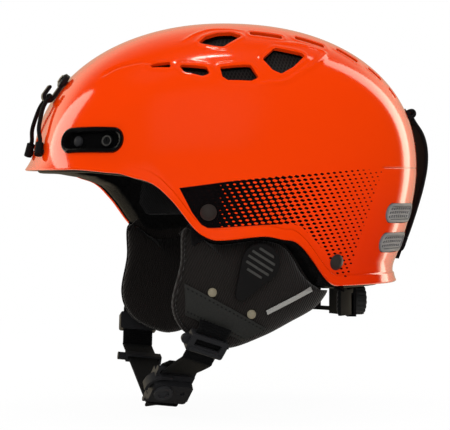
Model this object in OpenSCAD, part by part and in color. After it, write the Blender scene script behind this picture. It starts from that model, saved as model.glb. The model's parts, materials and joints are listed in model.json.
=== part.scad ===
// Climbing and ski touring helmet: a hard shell over a foam liner, ear pads, a chin strap with a
// side-sliding buckle, a geared nape cradle, a lamp hook with its elastic cord and a rear strap.
// The front is -Y, the wearer's left is +X, and Z = 0 is the plane of the brim. Millimetres.

/* [Shell] */
// Half length from the ear line to the front of the dome
half_front = 134.5; // [126:0.5:144]
// Half length from the ear line to the back of the dome
half_rear = 135; // [126:0.5:144]
// Half width over the ears
half_width = 108; // [102:0.5:114]
// Height of the crown
crown_z = 104; // [98:0.5:112]
// Wall of the shell
shell_t = 2.5; // [1.8:0.1:3.5]
// Height of the brim edge
brim_z = 2; // [-2:0.5:2.5]
// Height of the edge over the ears
ear_z = -44.5; // [-50:0.5:-40]
// Height of the edge at the nape
nape_z = -75.5; // [-82:0.5:-70]
// Rise of the ear edge at its middle
ear_arch = 2.5; // [0:0.5:5]
// How far the edge turns out at the brim
brim_flare = 5.5; // [2:0.5:9]
// How far the edge turns out at the nape
nape_flare = 7; // [2:0.5:9]
// How far the edge turns out over the ears
ear_flare = 1.5; // [0.5:0.5:4]
// Height of the turned-out edge
flare_h = 14; // [8:1:18]

/* [Liner and pads] */
// Foam thickness at the dome
liner_t = 20; // [18:1:26]
// Foam thickness at the edge
liner_edge_t = 14; // [11:1:18]
// How far the foam shows under the shell
liner_lip = 3; // [1:0.5:5]
// Thickness of the comfort pads
pad_t = 6; // [4:0.5:9]
// Height of the ear pads
ear_pad_h = 68; // [60:1:74]
// Thickness of the ear pads
ear_pad_t = 20; // [14:1:24]
// Seating gap between pieces of the fixed body
seat_gap = 0.3; // [0.2:0.05:0.5]

/* [Vents] */
// Depth of the nets below the shell's outside
net_depth = 6; // [5.5:0.5:8]
// Thickness of the nets
net_t = 0.8; // [0.5:0.1:1.2]
// Length of a rear vent
rear_vent_l = 46; // [36:1:52]
// Height of a rear vent
rear_vent_h = 13; // [10:0.5:15]
// Wall of a rear vent frame
rear_vent_wall = 2; // [1.2:0.1:3]

/* [Side clips] */
// Length of a side clip
clip_l = 51; // [40:1:56]
// Height of a side clip
clip_h = 16.5; // [13:0.5:19]
// Depth of a side clip below the shell's outside
clip_depth = 6; // [5:0.5:8]
// How far a side clip stands proud of the shell
clip_proud = 1.4; // [0.6:0.1:2.5]
// Wall of a side clip
clip_wall = 2.6; // [1.8:0.1:3.5]

/* [Lamp hook and cord] */
// Width of the hook
hook_w = 6; // [4.5:0.5:8]
// Thickness of the hook's neck and tip
hook_t = 2.5; // [1.8:0.1:3.2]
// Diameter of the elastic cord
cord_d = 3; // [2:0.2:3.6]

/* [Rear strap] */
// Width of the rear strap
rear_strap_w = 28; // [20:1:34]
// Thickness of the rear strap
rear_strap_t = 3; // [2:0.2:4]
// Radius of the rear hinge pin
rear_pin_r = 1.5; // [1.2:0.1:2]

/* [Harness] */
// Width of the webbing
web_w = 22; // [18:1:25]
// Thickness of the webbing
web_t = 1.6; // [1.2:0.1:2]
// Radius of a rivet's dome
rivet_r = 5.5; // [4:0.5:7]
// Radius of a rivet's shank
rivet_shank_r = 2; // [1.5:0.1:2.5]
// Length of a slider along the webbing
slider_l = 13; // [9:1:14]
// Width of the buckle
buckle_w = 28; // [27:0.5:34]
// Radius of the buckle's magnets
magnet_r = 4; // [3:0.5:4.5]

/* [Nape cradle] */
// Radius of the arc that the wings slide along
wing_r = 76; // [74:0.5:78]
// Thickness of a wing
wing_t = 2; // [1.6:0.1:2.4]
// Height of a wing's gripping end
wing_h = 17; // [14:1:19]
// Radius of the fit dial
dial_r = 11; // [10:0.5:11]
// Thickness of the fit dial
dial_t = 8; // [6:0.5:9]
// Teeth on the pinion
pinion_teeth = 10; // [8:2:10]
// Gear module of the pinion and the racks
gear_module = 1; // [0.9:0.05:1]
// Running clearance of the pins and shafts
run_gap = 0.05; // [0.02:0.01:0.09]

/* [Hidden] */
$fn = 48;

// Form of the shell
dome_z = 3;
plan_power = 2.25;
front_power = 2.12;
rear_power = 2.2;
side_power = 2.3;
side_tuck = 5;
rear_tuck = 20;
tuck_h = 72;
tuck_power = 1.7;
cheek_start_y = -95;
cheek_end_y = -32;
nape_start_y = 16;
nape_end_y = 57;
// Facets of the shell and the liner
around = 52;
dome_rows = 11;
edge_rows = 3;

function ramp(v, a, b) = let (u = max(0, min(1, (v - a) / (b - a)))) u * u * (3 - 2 * u);
function blend(a, b, f) = a + (b - a) * f;
function unit(v) = v / norm(v);
function mean(list) = [for (p = list) 1] * list / len(list);
function flat(lists) = [for (l = lists) for (p = l) p];

// Azimuth 0 is the front, 90 the wearer's left and 180 the back
function front_share(az) = pow(max(0, cos(az)), 2);
function rear_share(az) = pow(max(0, -cos(az)), 2);
function dome_power(az) =
    front_power * front_share(az) + rear_power * rear_share(az) + side_power * pow(sin(az), 2);
function plan_r(az, grow) =
    let (a = (cos(az) > 0 ? half_front : half_rear) + grow, b = half_width + grow)
    pow(pow(abs(cos(az)) / a, plan_power) + pow(abs(sin(az)) / b, plan_power), -1 / plan_power);
function rim_at(y) =
    brim_z + (ear_z - brim_z) * ramp(y, cheek_start_y, cheek_end_y)
    + ear_arch * (ramp(y, cheek_end_y, 0) - ramp(y, 0, nape_start_y))
    + (nape_z - ear_z) * ramp(y, nape_start_y, nape_end_y);
function rim_z(az) = rim_at(-plan_r(az, 0) * cos(az));
function tuck(az, z) =
    blend(side_tuck, rear_tuck, rear_share(az)) * pow(max(0, dome_z - z) / tuck_h, tuck_power);
function flare(az, z) =
    (ear_flare + (brim_flare - ear_flare) * front_share(az) + (nape_flare - ear_flare) * rear_share(az))
    * pow(max(0, min(1, 1 - (z - rim_z(az)) / flare_h)), 2);
function wall_r(az, z, grow) =
    let (n = dome_power(az), u = min(1, max(0, z - dome_z) / (crown_z + grow - dome_z)))
    plan_r(az, grow) * pow(max(0, 1 - pow(u, n)), 1 / n) - tuck(az, z);
function at(az, r, z) = [r * sin(az), -r * cos(az), z];
function skin(az, z) = at(az, wall_r(az, z, 0) + flare(az, z), z);

// Frame of a place on the shell: along the surface, up it and out of it
function along(az, z) = unit(skin(az + 0.2, z) - skin(az - 0.2, z));
function upward(az, z) = unit(skin(az, z + 0.1) - skin(az, z - 0.1));
function outward(az, z) = unit(cross(along(az, z), upward(az, z)));
function off_skin(az, z, off) = skin(az, z) + off * outward(az, z);
module framed(p, x, y, z) {
    multmatrix([[x.x, y.x, z.x, p.x], [x.y, y.y, z.y, p.y], [x.z, y.z, z.z, p.z], [0, 0, 0, 1]])
        children();
}
module on_skin(az, z) {
    u = along(az, z);
    n = outward(az, z);
    framed(skin(az, z), u, cross(n, u), n) children();
}
module mirrored() {
    mirror([1, 0, 0]) children();
}
module both_sides() {
    children();
    mirrored() children();
}

// Grid rows of the dome, from the crown down to the turned-out edge
function flare_top(az) = rim_z(az) + flare_h;
function sweep_angle(az) =
    let (above = flare_top(az) - dome_z, h = crown_z - dome_z)
    above >= 0 ? acos(pow(above / h, dome_power(az) / 2)) : 90 - above / h * 180 / PI;
function row_z(az, k, grow, edge_z) =
    let (s = sweep_angle(az) * k / dome_rows, h = crown_z + grow - dome_z)
    k > dome_rows ? blend(flare_top(az), edge_z, (k - dome_rows) / edge_rows)
    : s <= 90 ? dome_z + h * pow(cos(s), 2 / dome_power(az))
    : dome_z - (s - 90) * (crown_z - dome_z) * PI / 180;

// Solid through closed rings of equal length, with a fan at each end
module loft(rings, first = undef, last = undef) {
    n = len(rings[0]);
    m = len(rings);
    tip_a = is_undef(first) ? mean(rings[0]) : first;
    tip_b = is_undef(last) ? mean(rings[m - 1]) : last;
    sides = [for (i = [0 : m - 2]) for (j = [0 : n - 1])
        let (a = i * n + j, b = i * n + (j + 1) % n)
        each [[a, b, b + n], [a, b + n, a + n]]];
    cap_a = [for (j = [0 : n - 1]) [n * m, (j + 1) % n, j]];
    cap_b = [for (j = [0 : n - 1]) [n * m + 1, n * (m - 1) + j, n * (m - 1) + (j + 1) % n]];
    polyhedron(concat(flat(rings), [tip_a, tip_b]), concat(sides, cap_a, cap_b));
}
function azimuths() = [for (i = [0 : around - 1]) 360 * i / around];
// Smooth curve through points, open or closed
function catmull(a, b, c, d, t) =
    0.5 * (2 * b + (c - a) * t + (2 * a - 5 * b + 4 * c - d) * t * t + (3 * b - a - 3 * c + d) * t * t * t);
function smooth_open(p, steps) =
    let (m = len(p) - 1)
    concat([for (i = [0 : m - 1]) for (s = [0 : steps - 1])
        catmull(p[max(0, i - 1)], p[i], p[i + 1], p[min(m, i + 2)], s / steps)], [p[m]]);
function smooth_closed(p, steps) =
    let (m = len(p))
    [for (i = [0 : m - 1]) for (s = [0 : steps - 1])
        catmull(p[(i + m - 1) % m], p[i], p[(i + 1) % m], p[(i + 2) % m], s / steps)];
function tangent(p, i) = unit(p[min(len(p) - 1, i + 1)] - p[max(0, i - 1)]);
// Flat band along a path, with the direction of its width at each point
module ribbon(path, wide, w, t) {
    loft([for (i = [0 : len(path) - 1])
        let (a = unit(wide[i] - (wide[i] * tangent(path, i)) * tangent(path, i)) * w / 2,
            n = unit(cross(tangent(path, i), a)) * t / 2)
        [path[i] + a + n, path[i] + a - n, path[i] - a - n, path[i] - a + n]]);
}
module tube(path, r, sides, side_ref) {
    loft([for (i = [0 : len(path) - 1])
        let (t = tangent(path, i), a = unit(cross(side_ref, t)), b = cross(t, a))
        [for (j = [0 : sides - 1])
            path[i] + r * (a * cos(360 * j / sides) - b * sin(360 * j / sides))]]);
}

// Rounded slab that follows the shell, between two depths
module skin_capsule(az, z, l, h, deep, proud) {
    r = norm([skin(az, z).x, skin(az, z).y]);
    k = 3;
    half = [for (i = [0 : k]) l / 2 - h / 2 + h / 2 * sin(80 * i / k)];
    us = concat([for (i = [k : -1 : 0]) -half[i]], [for (i = [1 : 3]) blend(-half[0], half[0], i / 4)],
        half);
    loft([for (u = us)
        let (over = max(0, abs(u) - half[0]), e = sqrt(h * h / 4 - over * over), a = az + u / r * 180 / PI)
        [off_skin(a, z - e, proud), off_skin(a, z + e, proud), off_skin(a, z + e, deep),
            off_skin(a, z - e, deep)]]);
}

// Crown vents: azimuth, drop below the crown, and corners along and up the surface
vent_slit = [49, 33.3, [[-7, 0], [-6, -1.5], [7, -1.5], [6, 2]]];
vent_low_front = [64.2, 37.4, [[-11, 4.5], [-9, 0.5], [5, -4], [8, -2], [6.5, 2.5]]];
vent_low_mid = [81.6, 38.9,
    [[-12.5, 4.5], [-12, -2.5], [-9.5, -5], [8.5, -5.5], [12, -3], [8.5, 6.5], [5.5, 7]]];
vent_low_rear = [102.2, 30.5, [[-13, 2.5], [0, 14.5], [18, 9], [7.5, -4], [-4.5, -10.5], [-9, -7.5]]];
vent_top = [72.7, 14.8,
    [[-14, -4.5], [-10, 4], [0, 11], [9.5, 11.5], [14, 7], [5.5, -1], [0.5, -10.5], [-4.5, -9.5]]];
// Row of slots along the top: azimuth, drop, length, and turn of the slot
slot_w = 4;
slot_row = [[104, 11, 22, -16], [129.5, 15, 21, -36], [145, 23.5, 17, -63], [152, 36, 12, -66],
    [155, 49, 8, -80]];
function slot_outline(l, turn) =
    [for (c = [[-l / 2, -slot_w / 2], [l / 2, -slot_w / 2], [l / 2, slot_w / 2], [-l / 2, slot_w / 2]])
        [c.x * cos(turn) - c.y * sin(turn), c.x * sin(turn) + c.y * cos(turn)]];
vents = concat([vent_slit, vent_low_front, vent_low_mid, vent_low_rear, vent_top],
    [for (s = slot_row) [s[0], s[1], slot_outline(s[2], s[3])]]);
through_vents = [for (i = [1 : 6]) vents[i]];
function grown(outline, d) = [for (p = outline) p + d * unit(p)];
net_margin = 1.2;
vent_reach = 9;
hole_facets = 12;
vent_round = 1.2;
module vent_prism(v, margin, low, high, corner = 6) {
    on_skin(v[0], crown_z - v[1]) translate([0, 0, low]) linear_extrude(high - low)
        hull() for (p = grown(v[2], margin - vent_round)) translate(p) circle(r = vent_round, $fn = corner);
}

// Places of the side clips, rear vents and rivets: azimuth and height
clip_at = [31.5, 20.5];
clip_screw_u = 12;
clip_stud_u = -13;
rear_vent_az = 149;
rear_vent_z = [-28, -48];
rivets_at = [[69.9, -27], [118.7, -60.5]];
washer_t = 1.5;
washer_r = 6.5;
web_deep = shell_t + 1.2;
washer_deep = web_deep + web_t + seat_gap + washer_t;
rivet_deep = washer_deep + 1.5;

// Places of the lamp hook and cord: height of the hook's frame, and the cord's feet
hook_z = 54;
hook_head_r = 5.5;
hook_head_v = 9;
hook_throat = cord_d + 0.8;
hook_mid_n = seat_gap + hook_t + hook_throat / 2;
hook_screw_r = 2;
hook_screw_deep = 12;
hook_screw_head_r = 3.2;
hook_screw_seat = 2.8 + seat_gap;
foot_az = 8.6;
foot_z = 13;
foot_r = 2;
foot_deep = shell_t + 3;
ferrule_r = cord_d / 2 + 1.3;
ferrule_l = 9;
ferrule_off = ferrule_r + seat_gap;

// Places of the rear strap: heights and stand-off of the band's middle
rear_pin_z = 40;
rear_pin_off = 5;
rear_stud_z = -52;
rear_band = [[33, 6.5], [25, 9.5], [16, 10.6], [5, 10], [-8, 8.2], [-22, 6.6], [-36, 5.6], [-44, 5.2]];
rear_tab_l = 16;
rear_tab_t = 2.4;
stud_r = 3;
anchor_ear_t = 3;
anchor_off = 0.8;
anchor_plate_t = 1.2;
anchor_bolt_r = 1.6;

module shell_body() {
    outer = [for (k = [1 : dome_rows + edge_rows]) [for (a = azimuths())
        let (z = row_z(a, k, 0, rim_z(a))) at(a, wall_r(a, z, 0) + flare(a, z), z)]];
    inner = [for (k = [dome_rows + edge_rows : -1 : 1]) [for (a = azimuths())
        let (z = row_z(a, k, -shell_t, rim_z(a))) at(a, wall_r(a, z, -shell_t) + flare(a, z), z)]];
    loft(concat(outer, inner), [0, 0, crown_z], [0, 0, crown_z - shell_t]);
}
module outer_shell() {
    color("orangered")
        difference() {
            shell_body();
            both_sides() {
                for (v = vents) vent_prism(v, 0, -vent_reach, vent_reach);
                skin_capsule(clip_at[0], clip_at[1], clip_l + 2 * seat_gap, clip_h + 2 * seat_gap,
                    -vent_reach, vent_reach);
                for (z = rear_vent_z)
                    skin_capsule(rear_vent_az, z, rear_vent_l + 2 * seat_gap, rear_vent_h + 2 * seat_gap,
                        -vent_reach, vent_reach);
                for (p = rivets_at)
                    on_skin(p[0], p[1]) cylinder(r = rivet_shank_r + seat_gap, h = 2 * vent_reach,
                        center = true, $fn = hole_facets);
                on_skin(foot_az, foot_z)
                    cylinder(r = foot_r + seat_gap, h = 2 * vent_reach, center = true, $fn = hole_facets);
            }
            on_skin(0, hook_z) translate([0, hook_head_v, 0])
                cylinder(r = hook_screw_r + seat_gap, h = 3 * vent_reach, center = true, $fn = hole_facets);
            on_skin(180, rear_stud_z)
                cylinder(r = anchor_bolt_r + seat_gap, h = 2 * vent_reach, center = true,
                    $fn = hole_facets);
            rear_anchor_bolts(anchor_bolt_r + seat_gap, vent_reach);
        }
}

// Foam liner: its outside follows the shell, its inside leaves room for the head
liner_gap = 1;
liner_out = -(shell_t + liner_gap);
liner_in = liner_out - liner_t;
edge_round = 30;
function liner_edge(az) = rim_z(az) - liner_lip;
function liner_in_r(az, z) =
    wall_r(az, z, liner_in) + (liner_t - liner_edge_t) * ramp(liner_edge(az) + edge_round - z, 0,
        edge_round);
module liner_body() {
    rows = [for (k = [1 : dome_rows + edge_rows]) k];
    outer = [for (k = rows) [for (a = azimuths())
        let (z = row_z(a, k, liner_out, liner_edge(a))) at(a, wall_r(a, z, liner_out), z)]];
    inner = [for (k = [dome_rows + edge_rows : -1 : 1]) [for (a = azimuths())
        let (z = row_z(a, k, liner_in, liner_edge(a))) at(a, liner_in_r(a, z), z)]];
    loft(concat(outer, inner), [0, 0, crown_z + liner_out], [0, 0, crown_z + liner_in]);
}
channel_side = 2;
// Plain slab that follows the shell: from the anchor webbing's head down past the liner's edge
module webbing_channel(p) {
    z0 = rim_z(p[0]) - 4 * liner_lip;
    z1 = p[1] + washer_r + 2 * channel_side;
    turn = (web_w / 2 + channel_side) / norm([skin(p[0], p[1]).x, skin(p[0], p[1]).y]) * 180 / PI;
    function column(a, off) = [for (i = [0 : 3]) off_skin(a, blend(z0, z1, i / 3), off)];
    function turned_over(l) = [for (i = [len(l) - 1 : -1 : 0]) l[i]];
    loft([for (f = [-1, -0.33, 0.33, 1]) let (a = p[0] + f * turn)
        concat(column(a, shell_t), turned_over(column(a, -rivet_deep - channel_side)))]);
}
module foam_liner() {
    color([0.08, 0.08, 0.08])
        difference() {
            liner_body();
            both_sides() {
                for (v = vents) vent_prism(v, net_margin, -net_depth - net_t - seat_gap, vent_reach, 4);
                for (v = through_vents) vent_prism(v, -0.8, -liner_t - 3 * vent_reach, 0, 4);
                skin_capsule(clip_at[0], clip_at[1], clip_l + 4 * seat_gap, clip_h + 4 * seat_gap,
                    -clip_depth - seat_gap, vent_reach);
                for (z = rear_vent_z)
                    skin_capsule(rear_vent_az, z, rear_vent_l + 4 * seat_gap, rear_vent_h + 4 * seat_gap,
                        -clip_depth - seat_gap, vent_reach);
                for (p = rivets_at) webbing_channel(p);
                on_skin(foot_az, foot_z)
                    cylinder(r = foot_r + seat_gap, h = 2 * foot_deep, center = true, $fn = hole_facets);
            }
            on_skin(0, hook_z) translate([0, hook_head_v, 0])
                cylinder(r = hook_screw_r + seat_gap, h = 2 * hook_screw_deep + 1, center = true,
                    $fn = hole_facets);
            on_skin(180, rear_stud_z)
                cylinder(r = anchor_bolt_r + seat_gap, h = 2 * vent_reach, center = true,
                    $fn = hole_facets);
            rear_anchor_bolts(anchor_bolt_r + seat_gap, vent_reach);
        }
}
module vent_nets() {
    color([0.12, 0.12, 0.12])
        both_sides() for (v = vents)
            vent_prism(v, net_margin - seat_gap, -net_depth - net_t, -net_depth, 4);
}

// Oval side clips with a sunk tray
module side_clip() {
    difference() {
        skin_capsule(clip_at[0], clip_at[1], clip_l, clip_h, -clip_depth, clip_proud);
        skin_capsule(clip_at[0], clip_at[1], clip_l - 2 * clip_wall, clip_h - 2 * clip_wall,
            -clip_depth + 1.4, vent_reach);
    }
}
module left_side_clip() {
    color([0.05, 0.05, 0.05]) side_clip();
}
module right_side_clip() {
    color([0.05, 0.05, 0.05]) mirrored() side_clip();
}
function clip_az(u) = clip_at[0] + u / norm([skin(clip_at[0], clip_at[1]).x,
    skin(clip_at[0], clip_at[1]).y]) * 180 / PI;
clip_floor = -clip_depth + 1.4 + seat_gap;
clip_screw_r = 4;
clip_screw_t = 2;
module clip_screws() {
    color([0.15, 0.15, 0.15])
        both_sides() on_skin(clip_az(clip_screw_u), clip_at[1]) translate([0, 0, clip_floor])
            difference() {
                cylinder(r = clip_screw_r, h = clip_screw_t);
                translate([0, 0, clip_screw_t - 0.6]) difference() {
                    cylinder(r = clip_screw_r - 0.9, h = 1);
                    cylinder(r = clip_screw_r - 1.7, h = 1);
                }
                translate([-0.6, -clip_screw_r + 2.4, clip_screw_t - 0.8])
                    cube([1.2, 2 * clip_screw_r - 4.8, 1]);
            }
}
module clip_studs() {
    color([0.6, 0.6, 0.62])
        both_sides() on_skin(clip_az(clip_stud_u), clip_at[1]) translate([0, 0, clip_floor])
            intersection() {
                cylinder(r = 3.6, h = 4);
                translate([0, 0, -1.6]) sphere(r = 4.8);
            }
}

// Rear vents: frames let into the shell, each with a pierced mesh
module rear_vent_frames() {
    color([0.25, 0.25, 0.26])
        both_sides() for (z = rear_vent_z)
            difference() {
                skin_capsule(rear_vent_az, z, rear_vent_l, rear_vent_h, -clip_depth, 1);
                skin_capsule(rear_vent_az, z, rear_vent_l - 2 * rear_vent_wall,
                    rear_vent_h - 2 * rear_vent_wall, -vent_reach, vent_reach);
            }
}
mesh_deep = 3;
mesh_t = 1.2;
mesh_cols = 8;
mesh_rows = 3;
module rear_vent_meshes() {
    inner_l = rear_vent_l - 2 * rear_vent_wall - 2 * seat_gap;
    inner_h = rear_vent_h - 2 * rear_vent_wall - 2 * seat_gap;
    r = norm([skin(rear_vent_az, rear_vent_z[0]).x, skin(rear_vent_az, rear_vent_z[0]).y]);
    pitch_u = (inner_l - inner_h) / (mesh_cols - 1);
    pitch_v = inner_h / mesh_rows;
    color([0.55, 0.55, 0.56])
        both_sides() for (z = rear_vent_z)
            difference() {
                skin_capsule(rear_vent_az, z, inner_l, inner_h, -mesh_deep, mesh_t - mesh_deep);
                for (i = [0 : mesh_cols - 1]) for (j = [0 : mesh_rows - 1])
                    on_skin(rear_vent_az + (i - (mesh_cols - 1) / 2) * pitch_u / r * 180 / PI,
                        z + (j - (mesh_rows - 1) / 2) * pitch_v)
                        translate([0, 0, -mesh_deep])
                            cylinder(r = pitch_v * 0.33, h = 4 * mesh_t, center = true, $fn = 6);
            }
}

// Lamp hook on the forehead, its screw, the elastic cord and the ferrules that hold the cord's ends
module lamp_hook() {
    color([0.1, 0.1, 0.1])
        on_skin(0, hook_z) difference() {
            union() {
                rotate([90, 0, 90]) linear_extrude(hook_w, center = true) {
                    translate([-6, seat_gap]) square([hook_head_v + 6, hook_t]);
                    translate([-6, seat_gap + hook_t + hook_throat]) square([6, hook_t]);
                    translate([0, seat_gap + 1.5 * hook_t + hook_throat]) circle(r = hook_t / 2);
                    translate([-6, hook_mid_n]) intersection() {
                        difference() {
                            circle(r = hook_throat / 2 + hook_t);
                            circle(r = hook_throat / 2);
                        }
                        translate([-20, -10]) square([20, 20]);
                    }
                }
                translate([0, hook_head_v, seat_gap]) cylinder(r = hook_head_r, h = 3);
                translate([0, hook_head_v, seat_gap + 3]) intersection() {
                    cylinder(r = hook_head_r, h = 4);
                    translate([0, 0, -hook_head_r * 1.1]) sphere(r = hook_head_r * 1.487);
                }
            }
            translate([0, hook_head_v, -1]) cylinder(r = hook_screw_r + seat_gap, h = 12);
            translate([0, hook_head_v, hook_screw_seat - seat_gap])
                cylinder(r = hook_screw_head_r + seat_gap, h = 12);
        }
}
module lamp_hook_screw() {
    color([0.3, 0.3, 0.32])
        on_skin(0, hook_z) translate([0, hook_head_v, 0]) difference() {
            union() {
                translate([0, 0, -hook_screw_deep])
                    cylinder(r = hook_screw_r, h = hook_screw_deep + hook_screw_seat + 1);
                translate([0, 0, hook_screw_seat]) cylinder(r = hook_screw_head_r, h = 2.2);
            }
            translate([0, 0, hook_screw_seat + 1.1]) cylinder(r = 1.4, h = 3, $fn = 6);
        }
}
// Half of the cord's route from a ferrule to the hook: azimuth, height and stand-off
cord_route = [[5.9, 28, 4.2], [4.4, 36, 4.8], [2.9, 43, 5.3]];
ferrule_lean = 22;
ferrule_bore_from = 3;
function in_ferrule(d) =
    let (u = along(foot_az, foot_z), n = outward(foot_az, foot_z))
    off_skin(foot_az, foot_z, ferrule_off) + d * (cross(n, u) * cos(ferrule_lean) - u * sin(ferrule_lean));
cord_throat_v = -6;
module lamp_cord() {
    u = along(0, hook_z);
    n = outward(0, hook_z);
    seat = skin(0, hook_z) + n * hook_mid_n + cross(n, u) * (cord_throat_v + 0.9);
    half = concat([in_ferrule(ferrule_bore_from + seat_gap), in_ferrule(ferrule_l - ferrule_r),
        in_ferrule(ferrule_l)],
        [for (p = cord_route) off_skin(p[0], p[1], p[2])], [seat + u * (hook_w / 2 + 1.2) - [0, 0, 0.8]]);
    other = [for (i = [len(half) - 1 : -1 : 0]) [-half[i].x, half[i].y, half[i].z]];
    color([0.06, 0.06, 0.06])
        tube(smooth_open(concat(half, [seat], other), 4), cord_d / 2, 8, [0, -1, 0.35]);
}
module cord_ferrule() {
    on_skin(foot_az, foot_z) {
        translate([0, 0, -foot_deep]) cylinder(r = foot_r, h = foot_deep + ferrule_off);
        translate([0, 0, ferrule_off]) rotate(ferrule_lean) rotate([-90, 0, 0]) difference() {
            translate([0, 0, -ferrule_r]) cylinder(r = ferrule_r, h = ferrule_l);
            translate([0, 0, ferrule_bore_from]) cylinder(r = cord_d / 2 + 0.45, h = ferrule_l);
        }
    }
}
module cord_ferrules() {
    color([0.08, 0.08, 0.08]) both_sides() cord_ferrule();
}

// Rear strap: hinged at a bracket on top, pressed over a stud below
module rear_anchor_bolts(r, reach) {
    for (s = [-1, 1]) on_skin(180, rear_pin_z) translate([s * rear_strap_w * 0.32, 0, 0])
        cylinder(r = r, h = 2 * reach, center = true, $fn = hole_facets);
}
anchor_w = rear_strap_w + 2 * (anchor_ear_t + 0.5);
anchor_h = 10;
module rear_anchor() {
    color([0.1, 0.1, 0.1])
        on_skin(180, rear_pin_z) difference() {
            union() {
                translate([-anchor_w / 2, -anchor_h / 2, anchor_off])
                    cube([anchor_w, anchor_h, anchor_plate_t]);
                for (s = [-1, 1]) translate([s * (anchor_w - anchor_ear_t) / 2, 0, 0]) rotate([0, 90, 0]) {
                    translate([-rear_pin_off, 0, 0]) cylinder(r = 3.4, h = anchor_ear_t, center = true);
                    translate([-rear_pin_off / 2 - 0.5, 0, 0])
                        cube([rear_pin_off - 1, 6.8, anchor_ear_t], center = true);
                }
                for (s = [-1, 1]) translate([s * rear_strap_w * 0.32, 0, anchor_off + 0.2 - vent_reach])
                    cylinder(r = anchor_bolt_r, h = vent_reach);
            }
            translate([0, 0, rear_pin_off]) rotate([0, 90, 0])
                cylinder(r = rear_pin_r + run_gap, h = anchor_w + 2, center = true);
        }
}
module rear_anchor_pin() {
    color([0.6, 0.6, 0.62])
        on_skin(180, rear_pin_z) translate([0, 0, rear_pin_off]) rotate([0, 90, 0])
            cylinder(r = rear_pin_r, h = anchor_w, center = true);
}
rear_loop_r = rear_pin_r + 1.2;
function rear_mid(i) = off_skin(180, rear_band[i][0], rear_band[i][1]);
module rear_strap_loop() {
    p = skin(180, rear_pin_z) + outward(180, rear_pin_z) * rear_pin_off;
    q = rear_mid(0);
    d = unit(q - p);
    n = cross([-1, 0, 0], d);
    color([0.1, 0.1, 0.1])
        framed(p, [-1, 0, 0], d, n) difference() {
            union() {
                rotate([0, 90, 0]) cylinder(r = rear_loop_r, h = rear_strap_w, center = true);
                translate([-rear_strap_w / 2, 0, -1.2]) cube([rear_strap_w, norm(q - p) - seat_gap, 2.4]);
            }
            rotate([0, 90, 0]) cylinder(r = rear_pin_r + run_gap, h = anchor_w, center = true);
        }
}
module rear_strap() {
    path = smooth_open([for (i = [0 : len(rear_band) - 1]) rear_mid(i)], 2);
    color([0.07, 0.07, 0.07])
        ribbon(path, [for (p = path) [1, 0, 0]], rear_strap_w, rear_strap_t);
}
module rear_strap_tab() {
    last = len(rear_band) - 1;
    q = rear_mid(last);
    p = skin(180, rear_stud_z) + outward(180, rear_stud_z) * rear_band[last][1];
    d = unit(p - q);
    n = cross([-1, 0, 0], d);
    color([0.1, 0.1, 0.1])
        framed(q, [-1, 0, 0], d, n) difference() {
            translate([0, 0, -rear_tab_t / 2]) linear_extrude(rear_tab_t) {
                translate([-rear_strap_w / 2, seat_gap]) square([rear_strap_w, rear_tab_l * 0.4]);
                translate([-rear_strap_w / 2 + 4, seat_gap]) square([rear_strap_w - 8, rear_tab_l]);
                for (s = [-1, 1]) translate([s * (rear_strap_w / 2 - 4), rear_tab_l * 0.4]) circle(r = 4);
            }
            translate([0, norm(p - q), 0]) cylinder(r = stud_r + 0.6, h = 10, center = true);
        }
}
module rear_stud() {
    last = len(rear_band) - 1;
    color([0.6, 0.6, 0.62])
        on_skin(180, rear_stud_z) {
            translate([0, 0, 0.2]) cylinder(r = stud_r + 2.5, h = 1.5);
            translate([0, 0, 0.2]) cylinder(r = stud_r, h = rear_band[last][1] + rear_tab_t / 2);
            translate([0, 0, 1 - vent_reach]) cylinder(r = anchor_bolt_r, h = vent_reach);
        }
}

// Harness rivets with their washers, and the webbing that they clamp behind the shell
module strap_rivets() {
    dome_h = rivet_r * 0.5;
    ball = (rivet_r * rivet_r + dome_h * dome_h) / (2 * dome_h);
    color([0.12, 0.12, 0.12])
        both_sides() for (p = rivets_at) on_skin(p[0], p[1]) translate([0, 0, seat_gap]) {
            intersection() {
                cylinder(r = rivet_r, h = 2 * dome_h);
                translate([0, 0, dome_h - ball]) sphere(r = ball);
            }
            translate([0, 0, -rivet_deep]) cylinder(r = rivet_shank_r, h = rivet_deep + 0.1);
        }
}
module rivet_washers() {
    color([0.6, 0.6, 0.62])
        both_sides() for (p = rivets_at) on_skin(p[0], p[1]) translate([0, 0, -washer_deep])
            difference() {
                cylinder(r = washer_r, h = washer_t);
                translate([0, 0, -1]) cylinder(r = rivet_shank_r + seat_gap / 2, h = washer_t + 2);
            }
}
module anchor_webbing() {
    for (p = rivets_at) {
        low = rim_z(p[0]) - liner_lip + 0.5;
        high = p[1] + washer_r + 1;
        path = [for (i = [0 : 5]) off_skin(p[0], blend(high, low, i / 5), -web_deep - web_t / 2)
            - outward(p[0], blend(high, low, i / 5)) * flare(p[0], blend(high, low, i / 5))];
        difference() {
            ribbon(path, [for (q = path) along(p[0], p[1])], web_w, web_t);
            on_skin(p[0], p[1]) cylinder(r = rivet_shank_r + seat_gap, h = 30, center = true);
        }
    }
}
module left_anchor_webbing() {
    color([0.08, 0.08, 0.08]) anchor_webbing();
}
module right_anchor_webbing() {
    color([0.08, 0.08, 0.08]) mirrored() anchor_webbing();
}

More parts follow.
